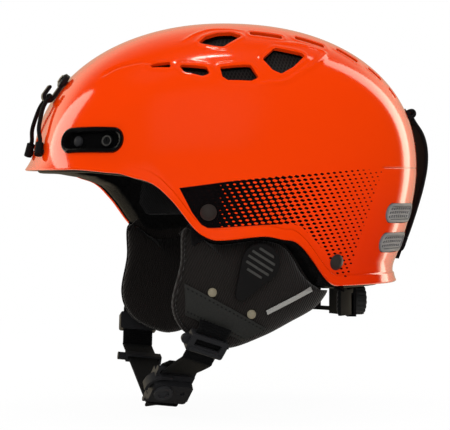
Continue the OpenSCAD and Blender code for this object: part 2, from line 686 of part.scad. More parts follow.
// Comfort pads on the liner's inside, thickest in the middle
pad_gap = 1;
pad_rim_t = 1.6;
function inner_wall(az, z) = at(az, liner_in_r(az, z), z);
module comfort_pad(az0, az1, z0, z1) {
    cols = 10;
    rows = 4;
    loft([for (i = [0 : cols]) let (a = blend(az0, az1, i / cols), fi = sin(180 * i / cols)) concat(
        [for (j = [0 : rows]) let (z = blend(z0(a), z1(a), j / rows)) inner_wall(a, z) - pad_gap * at(a,
            1, 0.5)],
        [for (j = [rows : -1 : 0]) let (z = blend(z0(a), z1(a), j / rows),
            f = sqrt(sin(180 * j / rows) * fi))
            inner_wall(a, z) - (pad_gap + blend(pad_rim_t, pad_t, f)) * unit(at(a, 1,
                0.9 * ramp(z, 10, crown_z)))])]);
}
brow_low = function (az) liner_edge(az) + 9;
brow_high = function (az) liner_edge(az) + 36;
module brow_pad() {
    color([0.1, 0.1, 0.1]) comfort_pad(-42, 42, brow_low, brow_high);
}
temple_low = function (az) max(liner_edge(az) + 10, -30);
temple_high = function (az) 28;
module temple_pad() {
    comfort_pad(62, 112, temple_low, temple_high);
}
module left_temple_pad() {
    color([0.1, 0.1, 0.1]) temple_pad();
}
module right_temple_pad() {
    color([0.1, 0.1, 0.1]) mirrored() temple_pad();
}
nape_low = function (az) -38;
nape_high = function (az) 10;
module nape_pad() {
    color([0.1, 0.1, 0.1]) comfort_pad(146, 214, nape_low, nape_high);
}
crown_pad_r = 46;
module crown_pad() {
    n = 24;
    h = crown_z + liner_in - dome_z;
    function cap_z(az, r) = let (k = dome_power(az))
        dome_z - pad_gap + h * pow(1 - pow(r / plan_r(az, liner_in), k), 1 / k);
    // Share of the pad's radius and of its thickness at each ring
    rings = [[0.5, 0], [0.9, 0], [1, 0.3], [0.9, 0.75], [0.5, 1]];
    color([0.1, 0.1, 0.1])
        loft([for (s = rings) [for (j = [0 : n - 1]) let (r = crown_pad_r * s[0], az = 360 * j / n)
            at(az, r, cap_z(az, r) - pad_t * s[1])]], [0, 0, cap_z(0, 0)], [0, 0, cap_z(0, 0) - pad_t]);
}

// Ear pads: a crowned cushion under the liner's edge, given by its outline in side view
pad_top_gap = 0.8;
pad_lean = 7;
pad_bow = 0.002;
pad_mid_x = half_width - 18;
// The foam's edge lies further forward at the pad than at the shell's outside
pad_shift = 1.32;
function pad_top(y) = min(rim_at(y), rim_at(y * pad_shift)) - liner_lip - pad_top_gap;
pad_front_y = -50;
pad_rear_y = 45;
// Lower outline: place along the helmet and share of the pad's height below the ear edge
pad_low = [[50, 0.53], [41, 0.69], [23, 0.83], [4, 0.965], [-20, 1.075], [-40, 0.985], [-52, 0.85],
    [-57, 0.62], [-52, 0.25]];
pad_outline = smooth_closed(concat(
    [for (y = [pad_front_y, -30, 0, 18, 32, pad_rear_y]) [y, pad_top(y)]],
    [for (p = pad_low) [p[0], ear_z - p[1] * ear_pad_h]]), 2);
pad_mid = [-5, ear_z - 0.5 * ear_pad_h];
// Share of the way from the pad's middle to its edge
function pad_share(p) =
    let (n = len(pad_outline), q = p - pad_mid)
    [for (j = [0 : n - 1])
        let (a = pad_outline[j] - pad_mid, b = pad_outline[(j + 1) % n] - pad_mid,
            k = a.x * b.y - a.y * b.x,
            s = (q.x * b.y - q.y * b.x) / k, t = (a.x * q.y - a.y * q.x) / k)
        if (s >= -1e-6 && t >= -1e-6) s + t][0];
function pad_swell(share) = ear_pad_t / 2 * pow(max(0, 1 - pow(min(1, share), 3.2)), 0.55);
function pad_sheet_x(p) = pad_mid_x - pad_lean * (ear_z - p.y) / ear_pad_h - pad_bow * p.x * p.x;
function pad_face(p, off) = [pad_sheet_x(p) + pad_swell(pad_share(p)) + off, p.x, p.y];
pad_rings = [0.3, 0.6, 0.82, 0.94, 0.99];
module ear_pad() {
    function ring(s, side) = [for (o = pad_outline) let (p = pad_mid + (o - pad_mid) * s)
        [pad_sheet_x(p) + side * pad_swell(s), p.x, p.y]];
    function tip(side) = [pad_sheet_x(pad_mid) + side * ear_pad_t / 2, pad_mid.x, pad_mid.y];
    inside = [for (s = pad_rings) ring(s, -1)];
    outside = [for (i = [len(pad_rings) - 1 : -1 : 0]) ring(pad_rings[i], 1)];
    loft(concat(inside, [ring(1, 0)], outside), tip(-1), tip(1));
}
module left_ear_pad() {
    color([0.11, 0.1, 0.1]) ear_pad();
}
module right_ear_pad() {
    color([0.11, 0.1, 0.1]) mirrored() ear_pad();
}
// Moulded grille over the ear, drop shaped with slanted slots
grille_at = [-1.5, ear_z - 16];
grille_r = 13;
grille_tip = [-13, -20.5];
grille_tip_r = 4.2;
grille_t = 2.2;
module ear_grille() {
    translate(pad_face(grille_at, 0.6)) rotate([90, 0, 90]) difference() {
        linear_extrude(grille_t) hull() {
            circle(r = grille_r, $fn = 32);
            translate(grille_tip) circle(r = grille_tip_r, $fn = 16);
        }
        for (i = [-2 : 2]) rotate(-32) translate([0, i * 4]) {
            l = 2 * sqrt(pow(grille_r - 3, 2) - pow(i * 4, 2));
            translate([-l / 2, -0.9, -1]) cube([l, 1.8, grille_t + 2]);
        }
    }
}
module left_ear_grille() {
    color([0.16, 0.15, 0.15]) ear_grille();
}
module right_ear_grille() {
    color([0.16, 0.15, 0.15]) mirrored() ear_grille();
}
// Strip that lies on the pad's face between an upper and a lower edge, each given by its two ends
function on_pad(p) = [p.x, ear_z - p.y * ear_pad_h];
module pad_strip(upper, lower, off, t) {
    steps = 10;
    loft([for (i = [0 : steps])
        let (a = blend(on_pad(upper[0]), on_pad(upper[1]), i / steps),
            b = blend(on_pad(lower[0]), on_pad(lower[1]), i / steps))
        concat([for (f = [0, 0.25, 0.5, 0.75, 1]) pad_face(blend(b, a, f), off + t)],
            [for (f = [1, 0.75, 0.5, 0.25, 0]) pad_face(blend(b, a, f), off)])]);
}
// Ends of the smooth band: place along the helmet and share of the pad's height below the ear edge
band_upper = [[-50.5, 0.43], [4.5, 0.88]];
band_lower = [[-49.5, 0.74], [-11, 1.0]];
band_off = 0.8;
band_t = 1.6;
module pad_band() {
    pad_strip(band_upper, band_lower, band_off, band_t);
}
module left_pad_band() {
    color([0.17, 0.17, 0.17]) pad_band();
}
module right_pad_band() {
    color([0.17, 0.17, 0.17]) mirrored() pad_band();
}
tape_upper = [[3.4, 0.7], [35.4, 0.475]];
tape_lower = [[4.6, 0.744], [36.6, 0.519]];
tape_t = 0.8;
module pad_tape() {
    pad_strip(tape_upper, tape_lower, band_off, tape_t);
}
module left_pad_tape() {
    color([0.7, 0.7, 0.69]) pad_tape();
}
module right_pad_tape() {
    color([0.7, 0.7, 0.69]) mirrored() pad_tape();
}
snap_r = 3;
snap_shares = [0.29, 0.77];
band_way = unit(on_pad(band_upper[1]) - on_pad(band_upper[0]));
snaps_at = [for (f = snap_shares) blend(on_pad(band_upper[0]), on_pad(band_upper[1]), f)
    + [-band_way.y, band_way.x] * (snap_r + seat_gap)];
module pad_snaps() {
    color([0.75, 0.68, 0.5])
        both_sides() for (p = snaps_at) translate(pad_face(p, 0.4)) rotate([0, 90, 0]) intersection() {
            cylinder(r = snap_r, h = 3);
            translate([0, 0, -2.4]) sphere(r = 4.4);
        }
}

// Chin strap: two webbings from the ear pads to the buckle, with sliders
strap_off = band_off + band_t + 2.4 + web_t / 2;
strap_exit_left = on_pad([-31, 0.83]);
strap_exit_right = on_pad([-42, 0.72]);
// Sliders: their middle, beside the ear pads, and the webbing's way through them
slider_left_at = [pad_mid_x + 1.5, -36.5, -114];
slider_right_at = [-pad_mid_x - 4.5, -42.2, -110.5];
left_d = unit([-0.45, -0.35, -0.82]);
right_d = unit([0.35, -0.1, -0.93]);
left_travel = 5;
right_travel = 9;
buckle_top = [57, -48, -133];
buckle_end = [34.6, -53.3, -155.8];
// Axes of a flat piece that runs along d: along, across and out of it
function across(d) = unit([0, 1, 0] - d.y * d);
buckle_d = unit(buckle_end - buckle_top);
buckle_n = cross(buckle_d, across(buckle_d));
buckle_mid = (buckle_top + buckle_end) / 2;
bar_x = norm(buckle_end - buckle_top) / 2;
bar_r = 1.7;
loop_r = bar_r + 0.4 + web_t / 2;
function in_buckle(x, z) = buckle_mid + x * buckle_d + z * buckle_n;
// The webbing's turn around a bar, between two angles
function bar_loop(x, a0, a1) =
    [for (i = [0 : 6]) let (a = blend(a0, a1, i / 6)) in_buckle(x + loop_r * cos(a), loop_r * sin(a))];
// Direction of the webbing's width: the pad's, then the slider's, turning to the buckle's between two points
function exit_wide(p) = unit(pad_face(p + [web_w / 3, 0], 0) - pad_face(p - [web_w / 3, 0], 0));
function ribbon_wide(path, from, to, start, first) =
    [for (i = [0 : len(path) - 1]) i == 0 ? start : blend(first, across(buckle_d), ramp(i, from, to))];
left_top = in_buckle(-bar_x, loop_r);
right_top = in_buckle(bar_x + loop_r, 0);
sewn_l = 11;
// Straight length of webbing through a slider and along its travel
function through_slider(at, d, travel) =
    [for (l = [-0.8, -0.55, 0.55, 0.6 + travel / slider_l]) at + d * l * slider_l];
left_run = through_slider(slider_left_at, left_d, left_travel);
right_run = through_slider(slider_right_at, right_d, right_travel);
left_way = unit(left_top - left_run[3]);
right_way = unit(right_top - right_run[3]);
module left_chin_webbing() {
    start = pad_face(strap_exit_left, strap_off);
    run = [for (f = [0.3, 0.6, 0.85]) blend(left_run[3], left_top, f)];
    back = in_buckle(-bar_x, -loop_r);
    sewn = [for (f = [0.5, 1]) back - left_way * sewn_l * f + buckle_n * f];
    path = concat([start], left_run, run, bar_loop(-bar_x, 90, -90), sewn);
    color([0.07, 0.07, 0.07])
        ribbon(path, ribbon_wide(path, 4, 8, exit_wide(strap_exit_left), across(left_d)), web_w, web_t);
}
module right_chin_webbing() {
    start = pad_face(strap_exit_right, strap_off);
    first = [-start.x, start.y, start.z];
    wide = exit_wide(strap_exit_right);
    run = [for (f = [0.2, 0.5, 0.8, 0.93]) blend(right_run[3], right_top, f)];
    back = in_buckle(bar_x - loop_r, 0);
    sewn = [for (f = [0.5, 1]) back - right_way * sewn_l * f - 1.2 * buckle_d * f];
    path = concat([first], right_run, run, bar_loop(bar_x, 0, 180), sewn);
    color([0.07, 0.07, 0.07])
        ribbon(path, ribbon_wide(path, 4, 9, [-wide.x, wide.y, wide.z], across(right_d)), web_w, web_t);
}
slider_wall = 2.2;
slider_round = 1.6;
slider_ear_r = 3.6;
slider_ear_t = 2.4;
web_slack = 0.5;
// Slider: a flat frame with a tunnel for the webbing and a ridge to grip
module slider(p, d, out) {
    w = web_w + 2 * web_slack;
    h = web_t + 2 * web_slack;
    n = cross(d, across(d)) * out;
    framed(p, d, cross(n, d), n) difference() {
        union() {
            translate([0, 0, -h / 2 - slider_wall]) linear_extrude(h + 2 * slider_wall)
                offset(r = slider_round)
                    square([slider_l - 2 * slider_round, w + 2 * (slider_wall - slider_round)],
                        center = true);
            translate([0, -w / 2 - slider_wall - slider_ear_r / 3, -slider_ear_t / 2])
                cylinder(r = slider_ear_r, h = slider_ear_t);
            translate([slider_l / 2 - 2, 0, h / 2 + slider_wall]) rotate([90, 0, 0])
                cylinder(r = 1.6, h = w, center = true);
        }
        translate([-slider_l, -w / 2, -h / 2]) cube([2 * slider_l, w, h]);
        translate([-slider_l / 2 + 3, -w / 2 + 2, 0]) cube([slider_l - 8, w - 4, h + slider_wall]);
    }
}
module left_slider() {
    color([0.13, 0.13, 0.14]) slider(slider_left_at, left_d, 1);
}
module right_slider() {
    color([0.13, 0.13, 0.14]) slider(slider_right_at, right_d, -1);
}
// Keeper loop on the right webbing, with a small button at its front edge
keeper_f = 0.25;
keeper_l = 8;
module strap_keeper() {
    p = blend(right_run[3], right_top, keeper_f);
    w = web_w + 2 * web_slack;
    h = web_t + 2 * web_slack;
    side = unit(blend(across(right_d), across(buckle_d), ramp(keeper_f, 0, 1)));
    y = unit(side - (side * right_way) * right_way);
    color([0.1, 0.1, 0.1])
        framed(p, right_way, y, cross(right_way, y)) difference() {
            union() {
                cube([keeper_l, w + 3, h + 3], center = true);
                translate([0, -w / 2 - 1, 0]) rotate([90, 0, 0]) cylinder(r = 2.8, h = 6);
            }
            cube([2 * keeper_l, w, h], center = true);
        }
}

// Buckle: the tongue's foot slides sideways out of a groove in the socket, held by two magnets
foot_w = 5;
foot_neck = 3;
foot_h = 2;
groove_gap = 0.3;
socket_low = -5.5;
socket_high = 2.5;
socket_from = -bar_x + loop_r + web_t / 2 + 0.6;
socket_to = 7.5;
arm_w = (buckle_w - web_w) / 2 - 0.5;
guard_r = 10.3;
guard_t = 2.2;
guard_from = 160;
guard_to = 280;
guard_deep = 2;
guard_high = 5;
guard_foot = 4;
module in_buckle_frame() {
    framed(buckle_mid, buckle_d, across(buckle_d), buckle_n) children();
}
module strap_bar(x, reach) {
    translate([x, 0, 0]) rotate([90, 0, 0]) cylinder(r = bar_r, h = buckle_w, center = true);
    for (s = [-1, 1]) translate([min(x, reach), s * (buckle_w - arm_w) / 2 - arm_w / 2, -bar_r])
        cube([abs(reach - x), arm_w, 2 * bar_r]);
}
// Curved guard round the boss, from the socket's top to its front side
module lever_guard() {
    translate([0, boss_y, 0]) rotate([0, 0, guard_from]) rotate_extrude(angle = guard_to - guard_from)
        translate([guard_r, -guard_deep]) square([guard_t, guard_deep + guard_high]);
    front = boss_y - guard_r - guard_t / 2;
    translate([-guard_foot / 2, front, -guard_deep])
        cube([guard_foot, 1 - buckle_w / 2 - front, guard_deep + socket_high]);
}
module buckle_socket() {
    color([0.1, 0.1, 0.11])
        in_buckle_frame() difference() {
            union() {
                translate([socket_from, -buckle_w / 2, socket_low])
                    cube([socket_to - socket_from, buckle_w, socket_high - socket_low]);
                strap_bar(-bar_x, socket_from + 1);
                lever_guard();
            }
            translate([-foot_w - groove_gap, -buckle_w / 2 + 4, -foot_h / 2 - groove_gap])
                cube([2 * (foot_w + groove_gap), buckle_w, foot_h + 2 * groove_gap]);
            translate([-foot_neck - groove_gap, -buckle_w / 2 + 4, 0])
                cube([2 * (foot_neck + groove_gap), buckle_w, socket_high + 1]);
            translate([0, boss_y, socket_low - 1]) cylinder(r = magnet_r + 0.1, h = 3.6);
        }
}
tongue_low = socket_high + groove_gap;
tongue_t = 4.5;
tongue_block = socket_to + 0.8;
face_round = 2;
// Places on the tongue's face: the boss over the magnet, a dimple, and a step along the lower edge
boss_y = -6;
dimple_y = 8;
dimple_r = 1.8;
lip_l = 4;
lip_deep = 1.2;
tongue_end = bar_x - loop_r - web_t / 2 - 0.6;
module buckle_tongue() {
    color([0.12, 0.12, 0.13])
        in_buckle_frame() difference() {
            union() {
                translate([-foot_w, -buckle_w / 2 + 4 + groove_gap, -foot_h / 2])
                    cube([2 * foot_w, buckle_w - 5, foot_h]);
                translate([-foot_neck, -buckle_w / 2 + 4 + groove_gap, 0])
                    cube([2 * foot_neck, buckle_w - 5, tongue_low + 1]);
                translate([-foot_w - 2, -buckle_w / 2, tongue_low]) linear_extrude(tongue_t)
                    translate([face_round, face_round]) offset(r = face_round)
                        square([tongue_end + foot_w + 2 - 2 * face_round, buckle_w - 2 * face_round]);
                translate([tongue_block, -buckle_w / 2, -bar_r])
                    cube([max(1, tongue_end - tongue_block), buckle_w, tongue_low + bar_r + 1]);
                strap_bar(bar_x, min(tongue_end, tongue_block));
            }
            translate([0, boss_y, tongue_low + tongue_t - 2.6]) cylinder(r = magnet_r + 0.1, h = 4);
            translate([0, dimple_y, tongue_low + tongue_t - 1.4]) cylinder(r = dimple_r, h = 4);
            translate([tongue_end - lip_l, -buckle_w, tongue_low + tongue_t - lip_deep])
                cube([lip_l + 1, 2 * buckle_w, tongue_t]);
        }
}
module socket_magnet() {
    color([0.7, 0.7, 0.72])
        in_buckle_frame() translate([0, boss_y, socket_low]) cylinder(r = magnet_r, h = 2.5);
}
module tongue_magnet() {
    color([0.7, 0.7, 0.72]) in_buckle_frame() translate([0, boss_y, tongue_low + tongue_t - 2.5])
        cylinder(r = magnet_r, h = 2.2);
}
module buckle_boss() {
    color([0.2, 0.2, 0.21])
        in_buckle_frame() translate([0, boss_y, tongue_low + tongue_t + 0.05]) difference() {
            cylinder(r = magnet_r + 2.5, h = 2);
            translate([0, 0, 1]) cylinder(r = magnet_r, h = 2);
        }
}

// Nape cradle: a hung housing in which a pinion drives two toothed wings along an arc
dial_z = nape_z - 15;
pitch_r = gear_module * pinion_teeth / 2;
tooth_h = 0.8 * gear_module;
root_h = 1.15 * gear_module;
tooth_thick = 1.22 * gear_module;
rack_body = 3;
slot_gap = 0.3;
house_half = 17;
house_wall = 1.6;
house_h = pitch_r + root_h + rack_body + slot_gap + house_wall;
shaft_r = 2;
hanger_x = 15;
hanger_w = 6;
hanger_z = nape_z + 17;
bracket_w = hanger_w + 2 * 2.6;
bracket_plate_t = 2;
// The liner's inside at the outer corner of a bracket
bracket_az = 167;
bracket_back = -seat_gap
    - cos(bracket_az) * min([for (z = [-4, 0, 5]) liner_in_r(bracket_az, hanger_z + z)]);
eye_r = 3.3;
hanger_y = bracket_back - bracket_plate_t - eye_r - 0.6;
hanger_pin_r = 1.5;
// The band hangs just behind its pins, and its arc's middle follows from that
band_y = hanger_y + 1;
wing_mid_y = band_y - wing_r;
module at_band() {
    translate([0, wing_mid_y, dial_z]) children();
}
// Piece of a ring: radii, heights and the angles from the rear towards the left
module arc_slab(r0, r1, z0, z1, a0, a1) {
    rotate([0, 0, 90 - a1]) rotate_extrude(angle = a1 - a0, $fn = 120) translate([r0, z0])
        square([r1 - r0, z1 - z0]);
}
module cradle_housing() {
    inner = wing_t / 2 + slot_gap;
    cavity_h = house_h - house_wall;
    color([0.1, 0.1, 0.11])
        difference() {
            union() {
                at_band() arc_slab(wing_r - inner - 2, wing_r + inner + 2, -house_h, house_h, -house_half,
                    house_half);
                for (s = [-1, 1]) translate([s * hanger_x, 0, 0]) {
                    translate([-hanger_w / 2, band_y - 6.5, dial_z + house_h - 1])
                        cube([hanger_w, 3.5, hanger_z - dial_z - house_h + 1]);
                    translate([-hanger_w / 2, band_y - 6.5, hanger_z - 1.75])
                        cube([hanger_w, hanger_y - band_y + 6.5, 3.5]);
                    translate([0, hanger_y, hanger_z]) rotate([0, 90, 0])
                        cylinder(r = eye_r, h = hanger_w, center = true);
                }
            }
            at_band() arc_slab(wing_r - inner, wing_r + inner, -cavity_h, cavity_h, -house_half - 5,
                house_half + 5);
            translate([0, band_y, dial_z]) rotate([-90, 0, 0]) {
                cylinder(r = pitch_r + tooth_h + 0.6, h = 2 * inner + 0.4, center = true);
                translate([0, 0, -inner - 1.2]) cylinder(r = shaft_r + run_gap, h = 20);
            }
            translate([0, hanger_y, hanger_z]) rotate([0, 90, 0])
                cylinder(r = hanger_pin_r + run_gap, h = 4 * hanger_x, center = true);
        }
}
module cradle_brackets() {
    color([0.1, 0.1, 0.11])
        both_sides() translate([hanger_x, 0, 0]) difference() {
            union() {
                for (s = [-1, 1]) translate([s * (hanger_w / 2 + 1.4), hanger_y, hanger_z]) {
                    rotate([0, 90, 0]) cylinder(r = eye_r, h = 2, center = true);
                    translate([-1, 0, -eye_r]) cube([2, bracket_back - hanger_y, 2 * eye_r]);
                }
                translate([-bracket_w / 2, bracket_back - bracket_plate_t, hanger_z - 4])
                    cube([bracket_w, bracket_plate_t, 9]);
            }
            translate([0, hanger_y, hanger_z]) rotate([0, 90, 0])
                cylinder(r = hanger_pin_r + run_gap, h = 3 * bracket_w, center = true);
        }
}
module cradle_pins() {
    color([0.6, 0.6, 0.62])
        both_sides() translate([hanger_x, hanger_y, hanger_z]) rotate([0, 90, 0])
            cylinder(r = hanger_pin_r, h = bracket_w - 0.4, center = true);
}
// Wings: the left one's rack runs over the pinion, the right one's under it
rack_past = 12;
rack_neck = 11;
tooth_w = wing_t - 0.4;
wing_to = 45;
pitch_deg = gear_module * PI / wing_r * 180 / PI;
module rack_tooth() {
    foot = tooth_thick * 0.72;
    tip = tooth_thick * 0.28;
    translate([0, wing_r - tooth_w / 2, 0]) rotate([-90, 0, 0]) linear_extrude(tooth_w)
        polygon([[-foot, -root_h - 0.3], [foot, -root_h - 0.3], [foot, -root_h],
            [tip, tooth_h], [-tip, tooth_h], [-foot, -root_h]]);
}
module wing() {
    low = pitch_r + root_h;
    at_band() {
        difference() {
            arc_slab(wing_r - wing_t / 2, wing_r + wing_t / 2, -wing_h / 2, low + rack_body, -rack_past,
                wing_to);
            arc_slab(wing_r - wing_t, wing_r + wing_t, -wing_h, low, -2 * rack_past, house_half + rack_neck);
        }
        for (i = [-4 : 7]) rotate([0, 0, -i * pitch_deg]) translate([0, 0, pitch_r]) rack_tooth();
    }
}
module left_wing() {
    color([0.14, 0.14, 0.15]) wing();
}
module right_wing() {
    color([0.14, 0.14, 0.15]) translate([0, 0, 2 * dial_z]) mirror([0, 0, 1]) mirrored() wing();
}
module wing_pad() {
    in_r = wing_r - wing_t / 2 - seat_gap / 2;
    at_band() arc_slab(in_r - 3.5, in_r, -wing_h / 2, pitch_r + root_h + rack_body, house_half + 13,
        wing_to - 1);
}
module left_wing_pad() {
    color([0.16, 0.15, 0.15]) wing_pad();
}
module right_wing_pad() {
    color([0.16, 0.15, 0.15]) translate([0, 0, 2 * dial_z]) mirror([0, 0, 1]) mirrored() wing_pad();
}
function tooth_corner(r, half, side, i) =
    let (a = 360 * i / pinion_teeth + side * half / r * 180 / PI) [r * cos(a), r * sin(a)];
pinion_outline = [for (i = [0 : pinion_teeth - 1]) each [
    tooth_corner(pitch_r - root_h, tooth_thick * 0.62, -1, i),
        tooth_corner(pitch_r, tooth_thick * 0.5, -1, i),
    tooth_corner(pitch_r + tooth_h, tooth_thick * 0.26, -1, i),
        tooth_corner(pitch_r + tooth_h, tooth_thick * 0.26, 1, i),
    tooth_corner(pitch_r, tooth_thick * 0.5, 1, i),
        tooth_corner(pitch_r - root_h, tooth_thick * 0.62, 1, i)]];
dial_from = wing_t / 2 + slot_gap + 2 + 0.4;
module fit_pinion() {
    color([0.7, 0.7, 0.68])
        translate([0, band_y, dial_z]) rotate([-90, 0, 0]) {
            linear_extrude(wing_t, center = true) polygon(pinion_outline);
            translate([0, 0, -wing_t / 2 - slot_gap - 1])
                cylinder(r = shaft_r, h = wing_t / 2 + slot_gap + 1 + dial_from + dial_t - 2);
        }
}
dial_ribs = 18;
module fit_dial() {
    color([0.45, 0.45, 0.46])
        translate([0, band_y + dial_from, dial_z]) rotate([-90, 0, 0]) difference() {
            cylinder(r = dial_r, h = dial_t);
            for (i = [0 : dial_ribs - 1]) rotate(360 * i / dial_ribs) translate([dial_r + 0.5, 0, 1.5])
                cylinder(r = 1.2, h = dial_t, $fn = 24);
            translate([0, 0, -1]) cylinder(r = shaft_r + run_gap, h = dial_t + 2);
            translate([0, 0, dial_t - 1.6]) cylinder(r = dial_r - 4, h = 2);
        }
}
module dial_cap() {
    color([0.75, 0.75, 0.75])
        translate([0, band_y + dial_from + dial_t - 1.5, dial_z]) rotate([-90, 0, 0])
            cylinder(r = dial_r - 4.2, h = 1.2);
}

outer_shell();
foam_liner();
vent_nets();
left_side_clip();
right_side_clip();
clip_screws();
clip_studs();
rear_vent_frames();
rear_vent_meshes();
lamp_hook();
lamp_hook_screw();
lamp_cord();
cord_ferrules();
rear_anchor();
rear_anchor_pin();
rear_strap_loop();
rear_strap();
rear_strap_tab();
rear_stud();
strap_rivets();
rivet_washers();
left_anchor_webbing();
right_anchor_webbing();
brow_pad();
crown_pad();
left_temple_pad();
right_temple_pad();
nape_pad();
left_ear_pad();
right_ear_pad();
left_ear_grille();
right_ear_grille();
left_pad_band();
right_pad_band();
left_pad_tape();
right_pad_tape();
pad_snaps();
left_chin_webbing();
right_chin_webbing();
left_slider();
right_slider();
strap_keeper();
buckle_socket();
buckle_tongue();
socket_magnet();
tongue_magnet();
buckle_boss();
cradle_housing();
cradle_brackets();
cradle_pins();
left_wing();
right_wing();
left_wing_pad();
right_wing_pad();
fit_pinion();
fit_dial();
dial_cap();
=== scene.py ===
"""Looks of a climbing helmet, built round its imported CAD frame.

Lengths are in millimetres and angles in degrees.
Azimuth 0 is the front, 90 the wearer's left and 180 the back.
"""

import json
import logging
import math
from abc import ABC, abstractmethod
from dataclasses import dataclass, field, replace
from enum import Enum
from functools import cache, cached_property, reduce
from operator import add
from typing import Any, ClassVar, Sequence, Union

import bpy
import numpy as np
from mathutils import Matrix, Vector
from mathutils.geometry import convex_hull_2d


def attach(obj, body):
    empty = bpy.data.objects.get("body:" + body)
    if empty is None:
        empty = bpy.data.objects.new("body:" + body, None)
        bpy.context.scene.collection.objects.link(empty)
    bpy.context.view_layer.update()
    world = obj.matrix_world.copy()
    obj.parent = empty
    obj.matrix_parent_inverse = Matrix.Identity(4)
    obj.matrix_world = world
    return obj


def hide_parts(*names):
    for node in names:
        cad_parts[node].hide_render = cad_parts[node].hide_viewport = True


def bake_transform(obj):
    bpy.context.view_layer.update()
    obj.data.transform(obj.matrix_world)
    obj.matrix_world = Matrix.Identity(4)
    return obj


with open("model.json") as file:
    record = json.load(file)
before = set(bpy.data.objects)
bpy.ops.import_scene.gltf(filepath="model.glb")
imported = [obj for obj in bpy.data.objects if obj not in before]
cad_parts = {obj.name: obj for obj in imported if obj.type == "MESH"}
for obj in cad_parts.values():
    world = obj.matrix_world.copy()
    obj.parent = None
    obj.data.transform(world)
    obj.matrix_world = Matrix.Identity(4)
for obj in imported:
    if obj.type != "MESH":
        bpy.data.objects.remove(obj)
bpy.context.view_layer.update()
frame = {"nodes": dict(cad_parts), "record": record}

MM = 0.001
SHARP = 40.0  # angle above which an edge stays sharp
SLOT_OF = {part["node"]: part["material_slot"] for part in frame["record"]["subparts"]}
Array = np.ndarray
Num = Union[np.ndarray, float]
Pair = tuple[float, float]
Triple = tuple[float, float, float]
Rgb = Triple
Edge = tuple[Pair, Pair]
log = logging.getLogger("helmet")


class Side(Enum):
    """Side of the helmet, with the sign of its X."""

    LEFT = 1
    RIGHT = -1

    @property
    def label(self) -> str:
        """Prefix of the side's node names."""
        return self.name.lower()


# ---------------------------------------------------------------- geometry


def ramp(value: Num, low: float, high: float) -> Array:
    """Smooth step of a value from 0 at low to 1 at high."""
    share = np.clip((np.asarray(value, float) - low) / (high - low), 0, 1)
    return share * share * (3 - 2 * share)


def hump(value: Num, rise: Pair, fall: Pair) -> Array:
    """Smooth hump of height 1 that rises over one span and falls over another."""
    return ramp(value, *rise) - ramp(value, *fall)


def bell(value: Array, wide: float) -> Array:
    """Bell curve of height 1 round 0."""
    return np.exp(-((value / wide) ** 2))


def circle(count: int) -> Array:
    """Angles in radians of points evenly round a circle."""
    return np.linspace(0, 2 * np.pi, count, endpoint=False)


def stadium(length: float, high: float, count: int) -> tuple[Array, Array]:
    """Outline of a slab with round ends, as lengths along and up.

    Args:
        length: Length over both ends.
        high: Height, which is the ends' diameter.
        count: Number of points.

    Returns:
        Lengths along and lengths up.
    """
    turn = circle(count)
    along = np.cos(turn) * high / 2 + np.sign(np.cos(turn)) * (length - high) / 2
    return along, np.sin(turn) * high / 2


def unit(vectors: Array) -> Array:
    """Vectors scaled to length 1 along the last axis."""
    return vectors / np.linalg.norm(vectors, axis=-1, keepdims=True)


def catmull(points: Sequence[Sequence[float]], steps: int, closed: bool = False) -> Array:
    """Smooth curve through points.

    Args:
        points: The points to pass through.
        steps: Pieces between two points.
        closed: Whether the curve returns to its first point.

    Returns:
        The curve's points, one per row.
    """
    given = np.asarray(points, float)
    count = len(given)
    if closed:
        index = (np.arange(-1, 3)[None] + np.arange(count)[:, None]) % count
    else:
        index = np.clip(np.arange(-1, 3)[None] + np.arange(count - 1)[:, None], 0, count - 1)
    a, b, c, d = (given[index[:, k]][:, None] for k in range(4))
    t = (np.arange(steps) / steps)[None, :, None]
    curve = 0.5 * (2 * b + (c - a) * t + (2 * a - 5 * b + 4 * c - d) * t**2 + (3 * b - a - 3 * c + d) * t**3)
    curve = curve.reshape(-1, given.shape[1])
    return curve if closed else np.vstack([curve, given[-1:]])


def tangents(path: Array) -> Array:
    """Unit direction of an open path at each point."""
    return unit(np.gradient(path, axis=0))


def run_length(path: Array) -> Array:
    """Length along a path up to each of its points."""
    return np.concatenate([[0], np.cumsum(np.linalg.norm(np.diff(path, axis=0), axis=1))])


def round_edge(outer: Array, inner: Array, angles: Sequence[float], deep: float, square: float = 1) -> Array:
    """Rings that round the lower edge between two rims.

    Args:
        outer: Rim of the outside.
        inner: Rim of the inside.
        angles: Places of the rings from the outside to the inside.
        deep: How far the edge hangs below the rims.
        square: 1 for a round edge, less for a squarer one.

    Returns:
        Points of shape (rings, points, 3).
    """
    turn = np.radians(angles)[:, None, None]
    middle, half = (outer + inner) / 2, (outer - inner) / 2
    bend = np.sign(np.cos(turn)) * abs(np.cos(turn)) ** square
    return middle + half * bend - np.array([0, 0, deep]) * np.sin(turn) ** square


def line_distance(points: Array, line: Array) -> tuple[Array, Array]:
    """Distance of points from a line, and the index of its nearest point."""
    gap = np.linalg.norm(points[:, None] - line[None], axis=-1)
    return gap.min(1), gap.argmin(1)


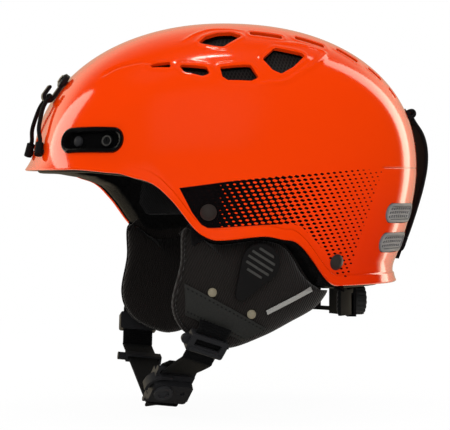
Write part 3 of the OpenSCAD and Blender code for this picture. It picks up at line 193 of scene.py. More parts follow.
def outline_distance(points: Array, outline: Array) -> Array:
    """Signed distance of flat points from a closed outline, negative inside.

    Args:
        points: Flat points, one per row.
        outline: Corners of the outline, in turn.

    Returns:
        One distance for each point.
    """
    start, end = outline, np.roll(outline, -1, axis=0)
    edge = end - start
    off = points[:, None] - start[None]
    share = np.clip((off * edge).sum(-1) / (edge * edge).sum(-1), 0, 1)
    gap = np.linalg.norm(off - share[..., None] * edge, axis=-1).min(1)
    crosses = (start[None, :, 1] > points[:, None, 1]) != (end[None, :, 1] > points[:, None, 1])
    slope = np.where(edge[:, 1] == 0, 1e-9, edge[:, 1])
    at = start[:, 0] + (points[:, None, 1] - start[:, 1]) / slope * edge[:, 0]
    inside = (crosses & (points[:, None, 0] < at)).sum(1) % 2 == 1
    return np.where(inside, -gap, gap)


def rounded_hull(outline: Sequence[Sequence[float]], radius: float, steps: int = 24) -> Array:
    """Convex outline whose corners are rounded with a radius.

    Args:
        outline: Corners of the outline.
        radius: Radius of its corners.
        steps: Points round a corner's circle.

    Returns:
        Points of the outline, in turn.
    """
    given = np.asarray(outline, float)
    given = given - unit(given) * radius
    turn = circle(steps)
    cloud = (given[:, None] + radius * np.stack([np.cos(turn), np.sin(turn)], -1)[None]).reshape(-1, 2)
    return cloud[convex_hull_2d([Vector(p) for p in cloud])]


@dataclass
class Solid:
    """Points and faces of a mesh while it is being put together."""

    points: Array
    faces: list[tuple[int, ...]]
    uv: Array | None = None

    @classmethod
    def loft(cls, rings: Array, tips: tuple[Array | None, Array | None] = (None, None)) -> "Solid":
        """Closed solid through rings of equal length, with a fan at each end.

        Args:
            rings: Points of shape (rings, points, 3), in turn along the solid.
            tips: Middle points of the end fans; the mean of the end ring where None.

        Returns:
            The solid, its faces turned outward.
        """
        count, size, _ = rings.shape
        first = rings[0].mean(0) if tips[0] is None else tips[0]
        last = rings[-1].mean(0) if tips[1] is None else tips[1]
        i, j = np.meshgrid(np.arange(count - 1), np.arange(size), indexing="ij")
        a, b = i * size + j, i * size + (j + 1) % size
        sides = np.stack([a, b, b + size, a + size], -1).reshape(-1, 4)
        j = np.arange(size)
        k = (j + 1) % size
        low = np.stack([np.full(size, count * size), k, j], -1)
        top = np.stack([np.full(size, count * size + 1), (count - 1) * size + j, (count - 1) * size + k], -1)
        points = np.vstack([rings.reshape(-1, 3), first, last])
        solid = cls(points, [*map(tuple, sides), *map(tuple, low), *map(tuple, top)])
        return solid.facing_out()

    @property
    def volume(self) -> float:
        """Signed volume within the faces.

        Returns:
            Cubic millimetres, negative where the faces look inward.
        """
        total = 0.0
        for size in {len(f) for f in self.faces}:
            face = self.points[np.array([f for f in self.faces if len(f) == size])]
            for k in range(1, size - 1):
                total += np.einsum("ij,ij->", face[:, 0], np.cross(face[:, k], face[:, k + 1]))
        return total / 6

    def facing_out(self) -> "Solid":
        """The same solid with its faces turned outward.

        Returns:
            The same solid.
        """
        if self.volume < 0:
            self.faces = [f[::-1] for f in self.faces]
        return self

    def mirrored(self) -> "Solid":
        """Copy on the other side of the helmet."""
        return Solid(self.points * [-1, 1, 1], [f[::-1] for f in self.faces], self.uv)

    def both_sides(self) -> "Solid":
        """The solid and its mirror image in one mesh."""
        return self + self.mirrored()

    def measured(self, across: Array, length: Array) -> "Solid":
        """The same loft with lengths across and along it as UV.

        Args:
            across: Length across at each point of a ring.
            length: Length along at each ring.

        Returns:
            The same solid.
        """
        uv = np.stack(np.broadcast_arrays(across[None], length[:, None]), -1).reshape(-1, 2)
        self.uv = np.vstack([uv, [0, 0], [0, length[-1]]])
        return self

    def __add__(self, other: "Solid") -> "Solid":
        """Both solids in one mesh.

        Args:
            other: The second solid.

        Returns:
            A new solid.
        """
        shift = len(self.points)
        faces = self.faces + [tuple(i + shift for i in f) for f in other.faces]
        uv = None if self.uv is None or other.uv is None else np.vstack([self.uv, other.uv])
        return Solid(np.vstack([self.points, other.points]), faces, uv)

    def to_object(self, name: str) -> bpy.types.Object:
        """Mesh object of the solid in the scene.

        Args:
            name: Name of the object and its mesh.

        Returns:
            The new object.
        """
        mesh = bpy.data.meshes.new(name)
        mesh.from_pydata((self.points * MM).tolist(), [], self.faces)
        if self.uv is not None:
            layer = mesh.uv_layers.new(name="weave")
            corners = np.array([loop.vertex_index for loop in mesh.loops])
            layer.data.foreach_set("uv", (self.uv[corners] * MM).astype(np.float32).ravel())
        mesh.shade_smooth()
        mesh.set_sharp_from_angle(angle=math.radians(SHARP))
        made = bpy.data.objects.new(name, mesh)
        bpy.context.scene.collection.objects.link(made)
        return made


def ribbon(path: Array, wide: Array, width: float, thick: float) -> Solid:
    """Flat band along a path, each edge rounded by a share of the thickness.

    Args:
        path: Middle line of the band.
        wide: Direction of the width at each point of the path.
        width: Width of the band.
        thick: Thickness of the band.

    Returns:
        The band, with lengths across and along it as UV.
    """
    along = tangents(path)
    side = unit(wide - (wide * along).sum(-1, keepdims=True) * along)
    up = np.cross(along, side)
    soft = 0.35 * thick
    half, deep = width / 2, thick / 2
    run = np.linspace(-1, 1, 9)
    section = [(half, -deep + soft), (half, deep - soft)]
    section += [((half - soft) * -r, deep) for r in run]
    section += [(-half, deep - soft), (-half, -deep + soft)]
    section += [((half - soft) * r, -deep) for r in run]
    flat = np.array(section)
    rings = path[:, None] + side[:, None] * flat[None, :, :1] + up[:, None] * flat[None, :, 1:]
    return Solid.loft(rings).measured(flat[:, 0], run_length(path))


def tube(path: Array, radius: float, sides: int, reference: Sequence[float]) -> Solid:
    """Round bar along a path.

    Args:
        path: Middle line of the bar.
        radius: Radius of the bar.
        sides: Points round it.
        reference: Direction that the path never takes.

    Returns:
        The bar, with lengths around and along it as UV.
    """
    along = tangents(path)
    side = unit(np.cross(np.asarray(reference, float), along))
    up = np.cross(along, side)
    turn = circle(sides)
    spokes = side[:, None] * np.cos(turn)[:, None] + up[:, None] * np.sin(turn)[:, None]
    return Solid.loft(path[:, None] + radius * spokes).measured(turn * radius, run_length(path))


def cut(target: bpy.types.Object, cutter: Solid) -> None:
    """Takes a solid out of a mesh object for good.

    Args:
        target: Object to cut.
        cutter: What is taken out.
    """
    knife = cutter.to_object(f"{target.name}_cutter")
    change = target.modifiers.new("cut", "BOOLEAN")
    change.operation = "DIFFERENCE"
    change.solver = "MANIFOLD"
    change.object = knife
    settled = target.evaluated_get(bpy.context.evaluated_depsgraph_get())
    mesh = bpy.data.meshes.new_from_object(settled)
    target.modifiers.clear()
    target.data = mesh
    mesh.shade_smooth()
    mesh.set_sharp_from_angle(angle=math.radians(SHARP))
    bpy.data.objects.remove(knife)


# ---------------------------------------------------------------- shader graph

Value = Union["Sock", float, Sequence[float]]


class Sock:
    """Output in a shader graph, whose operators add Math nodes."""

    def __init__(self, graph: "Graph", socket: bpy.types.NodeSocket) -> None:
        """Wraps a node's output socket."""
        self.graph = graph
        self.socket = socket

    def math(self, operation: str, *others: Value) -> "Sock":
        """Math node of this value and others."""
        values = dict(enumerate((self, *others)))
        return self.graph.node("ShaderNodeMath", {"operation": operation}, values)

    def __add__(self, other: Value) -> "Sock":
        """Sum."""
        return self.math("ADD", other)

    def __radd__(self, other: Value) -> "Sock":
        """Sum with a number on the left."""
        return self.math("ADD", other)

    def __sub__(self, other: Value) -> "Sock":
        """Difference."""
        return self.math("SUBTRACT", other)

    def __rsub__(self, other: float) -> "Sock":
        """Difference from a number."""
        return self.graph.node("ShaderNodeMath", {"operation": "SUBTRACT"}, {0: other, 1: self})

    def __mul__(self, other: Value) -> "Sock":
        """Product."""
        return self.math("MULTIPLY", other)

    def __rmul__(self, other: Value) -> "Sock":
        """Product with a number on the left."""
        return self.math("MULTIPLY", other)

    def __truediv__(self, other: Value) -> "Sock":
        """Quotient."""
        return self.math("DIVIDE", other)

    def __abs__(self) -> "Sock":
        """Size without the sign."""
        return self.math("ABSOLUTE")

    def ramp(self, low: float, high: float) -> "Sock":
        """Smooth step from 0 at low to 1 at high.

        Args:
            low: Value where the step begins.
            high: Value where it ends; less than low for a falling step.

        Returns:
            The step.
        """
        first, last = (0.0, 1.0) if low <= high else (1.0, 0.0)
        values = {0: self, 1: min(low, high), 2: max(low, high), 3: first, 4: last}
        return self.graph.node("ShaderNodeMapRange", {"interpolation_type": "SMOOTHSTEP"}, values)

    def over(self, span: Pair) -> "Sock":
        """Smooth step of a length in metres over a span in millimetres."""
        return self.ramp(span[0] * MM, span[1] * MM)


class Graph:
    """Shader graph of a material or a world, with its Principled or Background shader."""

    def __init__(self, owner: bpy.types.Material | bpy.types.World) -> None:
        """Starts the graph with its plain shader.

        Args:
            owner: New material or world.
        """
        owner.use_nodes = True
        self.owner = owner
        self.tree = owner.node_tree
        self.shader = next(n for n in self.tree.nodes if n.type in {"BSDF_PRINCIPLED", "BACKGROUND"})

    def node(
        self, kind: str, settings: dict[str, Any], values: dict[int | str, Value], out: int | str = 0
    ) -> Sock:
        """Adds a node.

        Args:
            kind: Blender's name of the node type.
            settings: Properties to set first.
            values: Numbers or outputs for its input sockets, by index or name.
            out: Output to return, by index or name.

        Returns:
            The chosen output.
        """
        made = self.tree.nodes.new(kind)
        for key, value in settings.items():
            setattr(made, key, value)
        for key, value in values.items():
            self.feed(made.inputs[key], value)
        return Sock(self, made.outputs[out])

    def feed(self, socket: bpy.types.NodeSocket, value: Value) -> None:
        """Links an output to an input socket, or sets its number.

        Args:
            socket: Input of a node.
            value: Output to link or number to set.
        """
        if isinstance(value, Sock):
            self.tree.links.new(value.socket, socket)
        else:
            socket.default_value = value

    def set(self, **values: Value) -> None:
        """Feeds sockets of the shader, with _ for a space in a name."""
        for name, value in values.items():
            self.feed(self.shader.inputs[name.replace("_", " ")], value)

    @cached_property
    def place(self) -> Sock:
        """Place in the piece's own frame, in metres."""
        return self.node("ShaderNodeTexCoord", {}, {}, "Object")

    @cached_property
    def weave(self) -> Sock:
        """Lengths across and along a band, in metres."""
        return self.node("ShaderNodeTexCoord", {}, {}, "UV")

    def axes(self, vector: Sock) -> tuple[Sock, Sock, Sock]:
        """The three parts of a vector.

        Args:
            vector: Output that holds a vector.

        Returns:
            Its X, Y and Z.
        """
        first = self.node("ShaderNodeSeparateXYZ", {}, {0: vector})
        made = first.socket.node
        return first, Sock(self, made.outputs[1]), Sock(self, made.outputs[2])

    def polyline(self, at: Sock, points: Sequence[Pair]) -> Sock:
        """Height in metres of a line through points in millimetres, at a length in metres.

        Args:
            at: Length along the line's base.
            points: Lengths and heights of the line's corners.

        Returns:
            The height.
        """
        total: Value = points[0][1] * MM
        for (x0, y0), (x1, y1) in zip(points, points[1:]):
            values = {0: at, 1: x0 * MM, 2: x1 * MM, 3: 0.0, 4: (y1 - y0) * MM}
            total = self.node("ShaderNodeMapRange", {}, values) + total
        return total

    def dot(self, first: Value, second: Value) -> Sock:
        """Dot product of two vectors."""
        return self.node("ShaderNodeVectorMath", {"operation": "DOT_PRODUCT"}, {0: first, 1: second}, "Value")

    def rays(self, *kinds: str) -> list[Sock]:
        """Marks of kinds of light rays, 1 for a ray of the kind."""
        outputs = self.node("ShaderNodeLightPath", {}, {}).socket.node.outputs
        return [Sock(self, outputs[f"Is {kind} Ray"]) for kind in kinds]

    def stretch(self, vector: Sock, scale: Sequence[float], turn: Sequence[float] = (0, 0, 0)) -> Sock:
        """A vector turned (degrees) and scaled along each axis."""
        angles = [math.radians(a) for a in turn]
        return self.node("ShaderNodeMapping", {}, {"Vector": vector, "Rotation": angles, "Scale": scale})

    def noise(self, pitch: float, at: Sock | None = None, detail: float = 2) -> Sock:
        """Soft noise whose blots are about a pitch in millimetres apart."""
        values = {"Vector": at or self.place, "Scale": 1 / (pitch * MM), "Detail": detail}
        return self.node("ShaderNodeTexNoise", {}, values)

    def cells(self, pitch: float, at: Sock | None = None, feature: str = "F1") -> Sock:
        """Distance within cells that are about a pitch in millimetres apart."""
        values = {"Vector": at or self.place, "Scale": 1 / (pitch * MM)}
        return self.node("ShaderNodeTexVoronoi", {"feature": feature}, values, "Distance")

    def wave(self, along: Sock, pitch: float) -> Sock:
        """Sine from 0 to 1 along a length in metres, one turn each pitch in millimetres."""
        return (along * (2 * math.pi / (pitch * MM))).math("SINE") * 0.5 + 0.5

    def mix(self, share: Value, first: Value, second: Value) -> Sock:
        """Colour between two colours."""
        return self.node("ShaderNodeMix", {"data_type": "RGBA"}, {0: share, 6: first, 7: second}, 2)

    def bump(self, height: Sock, depth: float) -> Sock:
        """Normal of a surface raised by a height from 0 to 1 times a depth in millimetres."""
        return self.node("ShaderNodeBump", {}, {"Height": height, "Distance": depth * MM, "Strength": 1.0})


def linear(colour: Sequence[float]) -> tuple[float, float, float, float]:
    """Linear colour of a screen colour from 0 to 255."""
    parts = [c / 255 for c in colour]
    return (*(p / 12.92 if p <= 0.04045 else ((p + 0.055) / 1.055) ** 2.4 for p in parts), 1.0)


# ---------------------------------------------------------------- finishes


@dataclass(frozen=True)
class Finish(ABC):
    """Look of a surface: a screen colour, a gloss and what a kind of finish adds.

    Pitches and depths are in millimetres; dim is the colour's share that is left in the dark places,
    which in knit, webbing and braid are painted shade in the hollows; uneven is how far the roughness varies
    and deep is how far the relief rises.
    """

    colour: Rgb
    roughness: float = 0.5
    specular: ClassVar[float] = 0.2
    dim: ClassVar[float] = 0.5

    @abstractmethod
    def paint(self, graph: Graph) -> None:
        """Feeds the shader of a fresh material."""

    def material(self, name: str) -> bpy.types.Material:
        """New material with this finish.

        Args:
            name: Name of the material.

        Returns:
            The new material.
        """
        graph = Graph(bpy.data.materials.new(name))
        graph.set(Base_Color=linear(self.colour), Roughness=self.roughness, Specular_IOR_Level=self.specular)
        self.paint(graph)
        return graph.owner

    def shade(self, graph: Graph, share: Value) -> Sock:
        """The colour, dimmed where share is 1."""
        full = linear(self.colour)
        return graph.mix(share, full, (*(c * self.dim for c in full[:3]), 1.0))


@dataclass(frozen=True)
class Moulded(Finish):
    """Moulded plastic with a fine grain and uneven gloss."""

    grain: float = 0.9
    deep: float = 0.04
    specular: ClassVar[float] = 0.4
    dim: ClassVar[float] = 0.8
    blot: ClassVar[float] = 14
    uneven: ClassVar[Pair] = (0.12, 0.05)

    def paint(self, graph: Graph) -> None:
        """Grain as bump, slow blots in the gloss and the colour.

        Args:
            graph: Graph of the new material.
        """
        grain = graph.cells(self.grain)
        blot = graph.noise(self.blot)
        slow, fine = self.uneven
        graph.set(
            Base_Color=self.shade(graph, blot),
            Roughness=self.roughness + slow * (blot - 0.5) + fine * grain,
            Normal=graph.bump(grain, self.deep),
        )


@dataclass(frozen=True)
class Matte(Moulded):
    """Moulded plastic or rubber with a dull surface."""

    specular: ClassVar[float] = 0.08


@dataclass(frozen=True)
class BeadFoam(Finish):
    """Moulded bead foam: packed cells with dark seams."""

    bead: float = 3.2
    dim: ClassVar[float] = 0.45
    seam: ClassVar[float] = 0.12
    fleck: ClassVar[float] = 1.1
    fleck_share: ClassVar[float] = 0.2
    uneven: ClassVar[float] = 0.1
    deep: ClassVar[float] = 0.18

    def paint(self, graph: Graph) -> None:
        """Cells as bump, their seams darker.

        Args:
            graph: Graph of the new material.
        """
        seam = graph.cells(self.bead, feature="DISTANCE_TO_EDGE").ramp(0.0, self.seam)
        fleck = graph.noise(self.fleck)
        relief = seam * (1 - self.fleck_share) + fleck * self.fleck_share
        graph.set(
            Base_Color=self.shade(graph, 1 - seam),
            Roughness=self.roughness - self.uneven * seam + self.uneven * fleck,
            Normal=graph.bump(relief, self.deep),
        )


@dataclass(frozen=True)
class Knit(Finish):
    """Ribbed knit: slanted ribs crossed by fine loops, with a soft sheen."""

    rib: float = 1.5
    slant: float = 24
    dim: ClassVar[float] = 0.5
    drift_pitch: ClassVar[float] = 9
    drift: ClassVar[float] = 0.5
    loop: ClassVar[float] = 0.55
    loop_share: ClassVar[float] = 0.3
    uneven: ClassVar[float] = 0.12
    deep: ClassVar[float] = 0.28
    sheen: ClassVar[Pair] = (0.25, 0.4)

    def paint(self, graph: Graph) -> None:
        """Ribs and loops as bump, with painted shade that darkens the valleys.

        Args:
            graph: Graph of the new material.
        """
        turned = graph.stretch(graph.place, (1, 1, 1), (self.slant, 0, 0))
        _, along, up = graph.axes(turned)
        drift = graph.noise(self.drift_pitch) * (self.drift * MM)
        ribs = graph.wave(along + drift, self.rib)
        loops = graph.wave(up, self.rib * self.loop)
        relief = ribs * (1 - self.loop_share) + ribs * loops * self.loop_share
        graph.set(
            # painted shade: colour dimmed in the valleys between ribs and loops
            Base_Color=self.shade(graph, 1 - relief),
            Roughness=self.roughness + self.uneven * (1 - relief),
            Normal=graph.bump(relief, self.deep),
            Sheen_Weight=self.sheen[0],
            Sheen_Roughness=self.sheen[1],
        )


@dataclass(frozen=True)
class Woven(Finish):
    """Webbing: crossed ribs over a band's UV, with thicker edges."""

    rib: float = 1.7
    half: float = 11
    specular: ClassVar[float] = 0.05
    dim: ClassVar[float] = 0.4
    zig_pitch: ClassVar[float] = 2.4
    zig: ClassVar[float] = 0.45
    cord: ClassVar[float] = 0.8
    selvedge: ClassVar[Pair] = (2.2, 1.4)
    weights: ClassVar[Triple] = (0.6, 0.25, 0.3)
    uneven: ClassVar[float] = 0.1
    deep: ClassVar[float] = 0.22
    sheen: ClassVar[float] = 0.02

    def paint(self, graph: Graph) -> None:
        """Ribs along and across as bump, with selvedges and painted shade that darkens the hollows.

        Args:
            graph: Graph of the new material.
        """
        across, along, _ = graph.axes(graph.weave)
        zig = graph.wave(across, self.rib * self.zig_pitch) * (self.rib * self.zig * MM)
        ribs = graph.wave(along + zig, self.rib)
        cords = graph.wave(across, self.rib * self.cord)
        start, end = self.selvedge
        edge = abs(across).over((self.half - start, self.half - end))
        first, second, third = self.weights
        relief = ribs * first + cords * second + edge * third
        graph.set(
            # painted shade: colour dimmed in the hollows of the weave
            Base_Color=self.shade(graph, 1 - relief),
            Roughness=self.roughness + self.uneven * (1 - ribs),
            Normal=graph.bump(relief, self.deep),
            Sheen_Weight=self.sheen,
        )


@dataclass(frozen=True)
class Leatherette(Finish):
    """Coated cloth with a pebble grain and a line of stitches near a band's edges."""

    pebble: float = 0.8
    half: float = 0.0
    dim: ClassVar[float] = 0.7
    crease: ClassVar[float] = 5
    crease_share: ClassVar[float] = 0.3
    uneven: ClassVar[float] = 0.15
    deep: ClassVar[float] = 0.16
    sewn_in: ClassVar[float] = 2
    line: ClassVar[Pair] = (0.55, 0.3)
    stitch: ClassVar[float] = 3.2
    stitch_gap: ClassVar[Pair] = (0.25, 0.45)
    thread: ClassVar[Rgb] = (20, 20, 19)
    weights: ClassVar[Triple] = (0.3, 0.6, 0.5)

    def paint(self, graph: Graph) -> None:
        """Pebbles as bump; stitches where the piece has a UV and a half width.

        Args:
            graph: Graph of the new material.
        """
        pebble = graph.cells(self.pebble)
        crease = graph.noise(self.crease)
        relief = pebble * (1 - self.crease_share) + crease * self.crease_share
        colour = self.shade(graph, pebble)
        if self.half:
            across, along, _ = graph.axes(graph.weave)
            line = abs(abs(across) - (self.half - self.sewn_in) * MM).over(self.line)
            stitch = line * graph.wave(along, self.stitch).ramp(*self.stitch_gap)
            colour = graph.mix(line - stitch, colour, linear(self.thread))
            plain, raised, sunk = self.weights
            relief = relief * plain + stitch * raised - line * sunk
        graph.set(
            Base_Color=colour,
            Roughness=self.roughness + self.uneven * (crease - 0.5),
            Normal=graph.bump(relief, self.deep),
        )


@dataclass(frozen=True)
class Braid(Finish):
    """Braided elastic: two spirals of yarn over a tube's UV."""

    pitch: float = 1.9
    dim: ClassVar[float] = 0.4
    slope: ClassVar[float] = 0.7
    uneven: ClassVar[float] = 0.1
    deep: ClassVar[float] = 0.2

    def paint(self, graph: Graph) -> None:
        """Crossing spirals as bump, with painted shade that darkens the gaps between the yarns.

        Args:
            graph: Graph of the new material.
        """
        around, along, _ = graph.axes(graph.weave)
        slant = around * self.slope
        yarn = graph.wave(along + slant, self.pitch) * graph.wave(along - slant, self.pitch)
        graph.set(
            # painted shade: colour dimmed in the gaps between the yarns
            Base_Color=self.shade(graph, 1 - yarn),
            Roughness=self.roughness + self.uneven * yarn,
            Normal=graph.bump(yarn, self.deep),
        )


@dataclass(frozen=True)
class Metal(Finish):
    """Turned or plated metal with fine streaks."""

    dim: ClassVar[float] = 0.82
    streak: ClassVar[float] = 0.8
    stretch: ClassVar[Triple] = (1, 1, 0.08)
    uneven: ClassVar[float] = 0.18

    def paint(self, graph: Graph) -> None:
        """Streaks in the gloss.

        Args:
            graph: Graph of the new material.
        """
        streak = graph.noise(self.streak, graph.stretch(graph.place, self.stretch))
        graph.set(
            Base_Color=self.shade(graph, streak),
            Roughness=self.roughness + self.uneven * (streak - 0.5),
            Metallic=1.0,
        )


@dataclass(frozen=True)
class Net(Finish):
    """Open net: threads round rows of gaps."""

    pitch: float = 2.5
    dim: ClassVar[float] = 0.2
    slope: ClassVar[float] = 0.6
    thread: ClassVar[Pair] = (0.72, 0.86)
    uneven: ClassVar[float] = 0.1
    deep: ClassVar[float] = 0.3

    def paint(self, graph: Graph) -> None:
        """Threads raised, the gaps dark.

        Args:
            graph: Graph of the new material.
        """
        _, along, up = graph.axes(graph.place)
        slant = up * self.slope
        first = graph.wave(along + slant, self.pitch)
        second = graph.wave(along - slant, self.pitch)
        thread = first.math("MAXIMUM", second).ramp(*self.thread)
        graph.set(
            Base_Color=self.shade(graph, 1 - thread),
            Roughness=self.roughness + self.uneven * thread,
            Normal=graph.bump(thread, self.deep),
        )


@dataclass(frozen=True)
class GlossShell(Finish):
    """Lacquered shell with a dotted print on each side, a mould seam at the back and painted shade that
    darkens the lower rear.
    """

    specular: ClassVar[float] = 0.5
    print_colour: Rgb = (12, 9, 10)
    # painted shade: darker, redder orange that the lower rear of the shell takes on
    painted_shade_colour: Rgb = (226, 46, 2)
    seam_colour: Rgb = (120, 22, 0)
    first: Pair = (4.53, 0.41)
    second: Pair = (1.47, -2.56)
    solid_y: float = -31
    fade: float = 120
    lower: tuple[Pair, ...] = (
        (-56.8, -11), (-48.7, -27), (-42.8, -35), (-38.8, -37.2), (-34, -37.3), (-3, -35.4),
        (18, -34.7), (24.7, -36.2), (38, -48.3), (53.6, -69.6), (62.4, -71),
    )
    upper: tuple[Pair, ...] = ((-56.8, -11), (-21.8, -6.3), (22.3, -1.9), (55.5, 1.2), (87, 1.2))
    rear: tuple[Pair, ...] = ((-71, 62.4), (-63.6, 64.3), (-38.3, 72.3), (-2.3, 85.5), (1.2, 87))
    print_x: Pair = (50, 55)
    print_y: Pair = (-57.5, -56.5)
    print_edge: Pair = (-0.3, 0.3)
    levels: Triple = (0.62, 3.75, 2.05)
    dot_edge: float = 0.1
    seam_z: float = 2.8
    seam_wide: Pair = (0.7, 0.2)
    seam_x: Pair = (86, 89)
    seam_y: Pair = (70, 75)
    seam_share: float = 0.3
    # spans of the painted shade along the helmet and in height
    low_y: Pair = (-20, 90)
    low_z: Pair = (30, -75)
    inward: Pair = (-0.3, -0.45)
    peel: float = 2.4
    uneven: Triple = (0.06, 0.05, 0.5)
    relief: Triple = (0.02, 0.6, 0.5)
    coat: Triple = (0.35, 0.1, 0.25)
    coat_roughness: float = 0.06

    def paint(self, graph: Graph) -> None:
        """Print as colour, painted shade on the lower rear, seam and orange peel as bump, under a clear coat.

        Args:
            graph: Graph of the new material.
        """
        side, along, up = graph.axes(graph.place)
        dots = self.dots(along, up) * self.field(graph, along, up)
        dots = dots * abs(side).over(self.print_x)
        seam = abs(up - self.seam_z * MM).over(self.seam_wide) * along.over(self.seam_y)
        seam = seam * (1 - abs(side).over(self.seam_x))
        # painted shade: mask that mixes the lower rear towards the darker, redder orange
        low = up.over(self.low_z) * along.over(self.low_y)
        peel = graph.noise(self.peel)
        base = graph.mix(low, linear(self.colour), linear(self.painted_shade_colour))
        base = graph.mix(seam * self.seam_share, base, linear(self.seam_colour))
        inside = self.inside(graph)
        dark = dots.math("MAXIMUM", inside)
        rough, coat = self.uneven, self.coat
        raised, sunk, deep = self.relief
        graph.set(
            Base_Color=graph.mix(dark, base, linear(self.print_colour)),
            Roughness=self.roughness + rough[0] * (peel - 0.5) + rough[1] * dots + rough[2] * inside,
            Normal=graph.bump(peel * raised - seam * sunk, deep),
            Coat_Weight=coat[0] - coat[1] * dots - coat[2] * inside,
            Coat_Roughness=self.coat_roughness,
        )

    def inside(self, graph: Graph) -> Sock:
        """Mask of the faces that look into the helmet, which stay black.

        Args:
            graph: Graph of the new material.

        Returns:
            1 on faces that look inward.
        """
        normal = graph.node("ShaderNodeTexCoord", {}, {}, "Normal")
        way = graph.node("ShaderNodeVectorMath", {"operation": "NORMALIZE"}, {0: graph.place}, "Vector")
        return graph.dot(normal, way).ramp(*self.inward)

    def dots(self, along: Sock, up: Sock) -> Sock:
        """Halftone on a slanted grid: solid at the front, then a checker, then dots that shrink.

        Args:
            along: Place along the helmet.
            up: Height.

        Returns:
            1 on a dot.
        """
        (a, b), (c, d) = self.first, self.second
        turn = 2 * math.pi / ((a * d - b * c) * MM)
        rows = (along * (d * turn) - up * (c * turn)).math("COSINE")
        columns = (up * (a * turn) - along * (b * turn)).math("COSINE")
        share = ((along - self.solid_y * MM) / (self.fade * MM)).math("MAXIMUM", 0.0)
        power, scale, start = self.levels
        level = share.math("POWER", power) * scale - start
        return (rows + columns - level).ramp(-self.dot_edge, self.dot_edge)

    def field(self, graph: Graph, along: Sock, up: Sock) -> Sock:
        """Mask of the printed field in side view.

        Args:
            graph: Graph of the new material.
            along: Place along the helmet.
            up: Height.

        Returns:
            1 within the field.
        """
        above = (up - graph.polyline(along, self.lower)).over(self.print_edge)
        below = (graph.polyline(along, self.upper) - up).over(self.print_edge)
        ahead = (graph.polyline(up, self.rear) - along).over(self.print_edge)
        return above * below * ahead * along.over(self.print_y)


FINISHES: dict[str, Finish] = {
    "shell": GlossShell((247, 63, 1), 0.11),
    "foam": BeadFoam((18, 18, 18), 0.62),
    "net": Net((42, 41, 40), 0.7),
    "clip": Moulded((12, 12, 13), 0.16, 1.6, 0.01),
    "clip_stud": Moulded((80, 79, 76), 0.4),
    "vent_frame": Moulded((122, 121, 124), 0.45),
    "vent_mesh": Moulded((132, 131, 134), 0.5),
    "hook": Moulded((24, 24, 25), 0.36),
    "steel": Metal((178, 178, 180), 0.3),
    "cord": Braid((26, 25, 25), 0.65),
    "rubber": Matte((22, 22, 23), 0.7, 0.6, 0.05),
    "rivet": Moulded((52, 45, 42), 0.3),
    "webbing": Woven((17, 17, 18), 0.75),
    "pad": Knit((28, 28, 29), 0.85, 1.2),
    "ear_pad": Knit((36, 32, 30), 0.8),
    "grille": Matte((26, 25, 25), 0.5),
    "band": Leatherette((46, 46, 44), 0.5, half=7.5),
    "tape": Woven((166, 165, 161), 0.7, 0.8, 1.5),
    "snap": Moulded((138, 130, 110), 0.3),
    "buckle": Matte((40, 40, 42), 0.45),
    "boss": Matte((50, 50, 52), 0.4),
    "cradle": Matte((22, 22, 23), 0.7),
    "pinion": Moulded((200, 200, 196), 0.4),
    "dial": Matte((50, 50, 50), 0.62),
    "cap": Matte((176, 40, 34), 0.5),
}


@cache
def finish_of(slot: str) -> bpy.types.Material:
    """Material of a slot, made once."""
    return FINISHES[slot].material(slot)


def place(piece: bpy.types.Object, body: str | None, slot: str, *nodes: str) -> bpy.types.Object:
    """Finishes a piece and ties it to the frame.

    Args:
        piece: New object in the row frame.
        body: CAD body that it moves with, or None for a piece that is tied to no body.
        slot: Material slot that gives its finish.
        nodes: CAD nodes that it stands for.

    Returns:
        The same object.
    """
    piece.data.materials.clear()
    piece.data.materials.append(finish_of(slot))
    if body:
        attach(piece, body)
    if nodes:
        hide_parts(*nodes)
    return piece


class Assembly(ABC):
    """Sub-assembly of the helmet, which makes and dresses its own pieces."""

    @abstractmethod
    def build(self) -> list[bpy.types.Object]:
        """Makes the pieces."""


# ---------------------------------------------------------------- shell


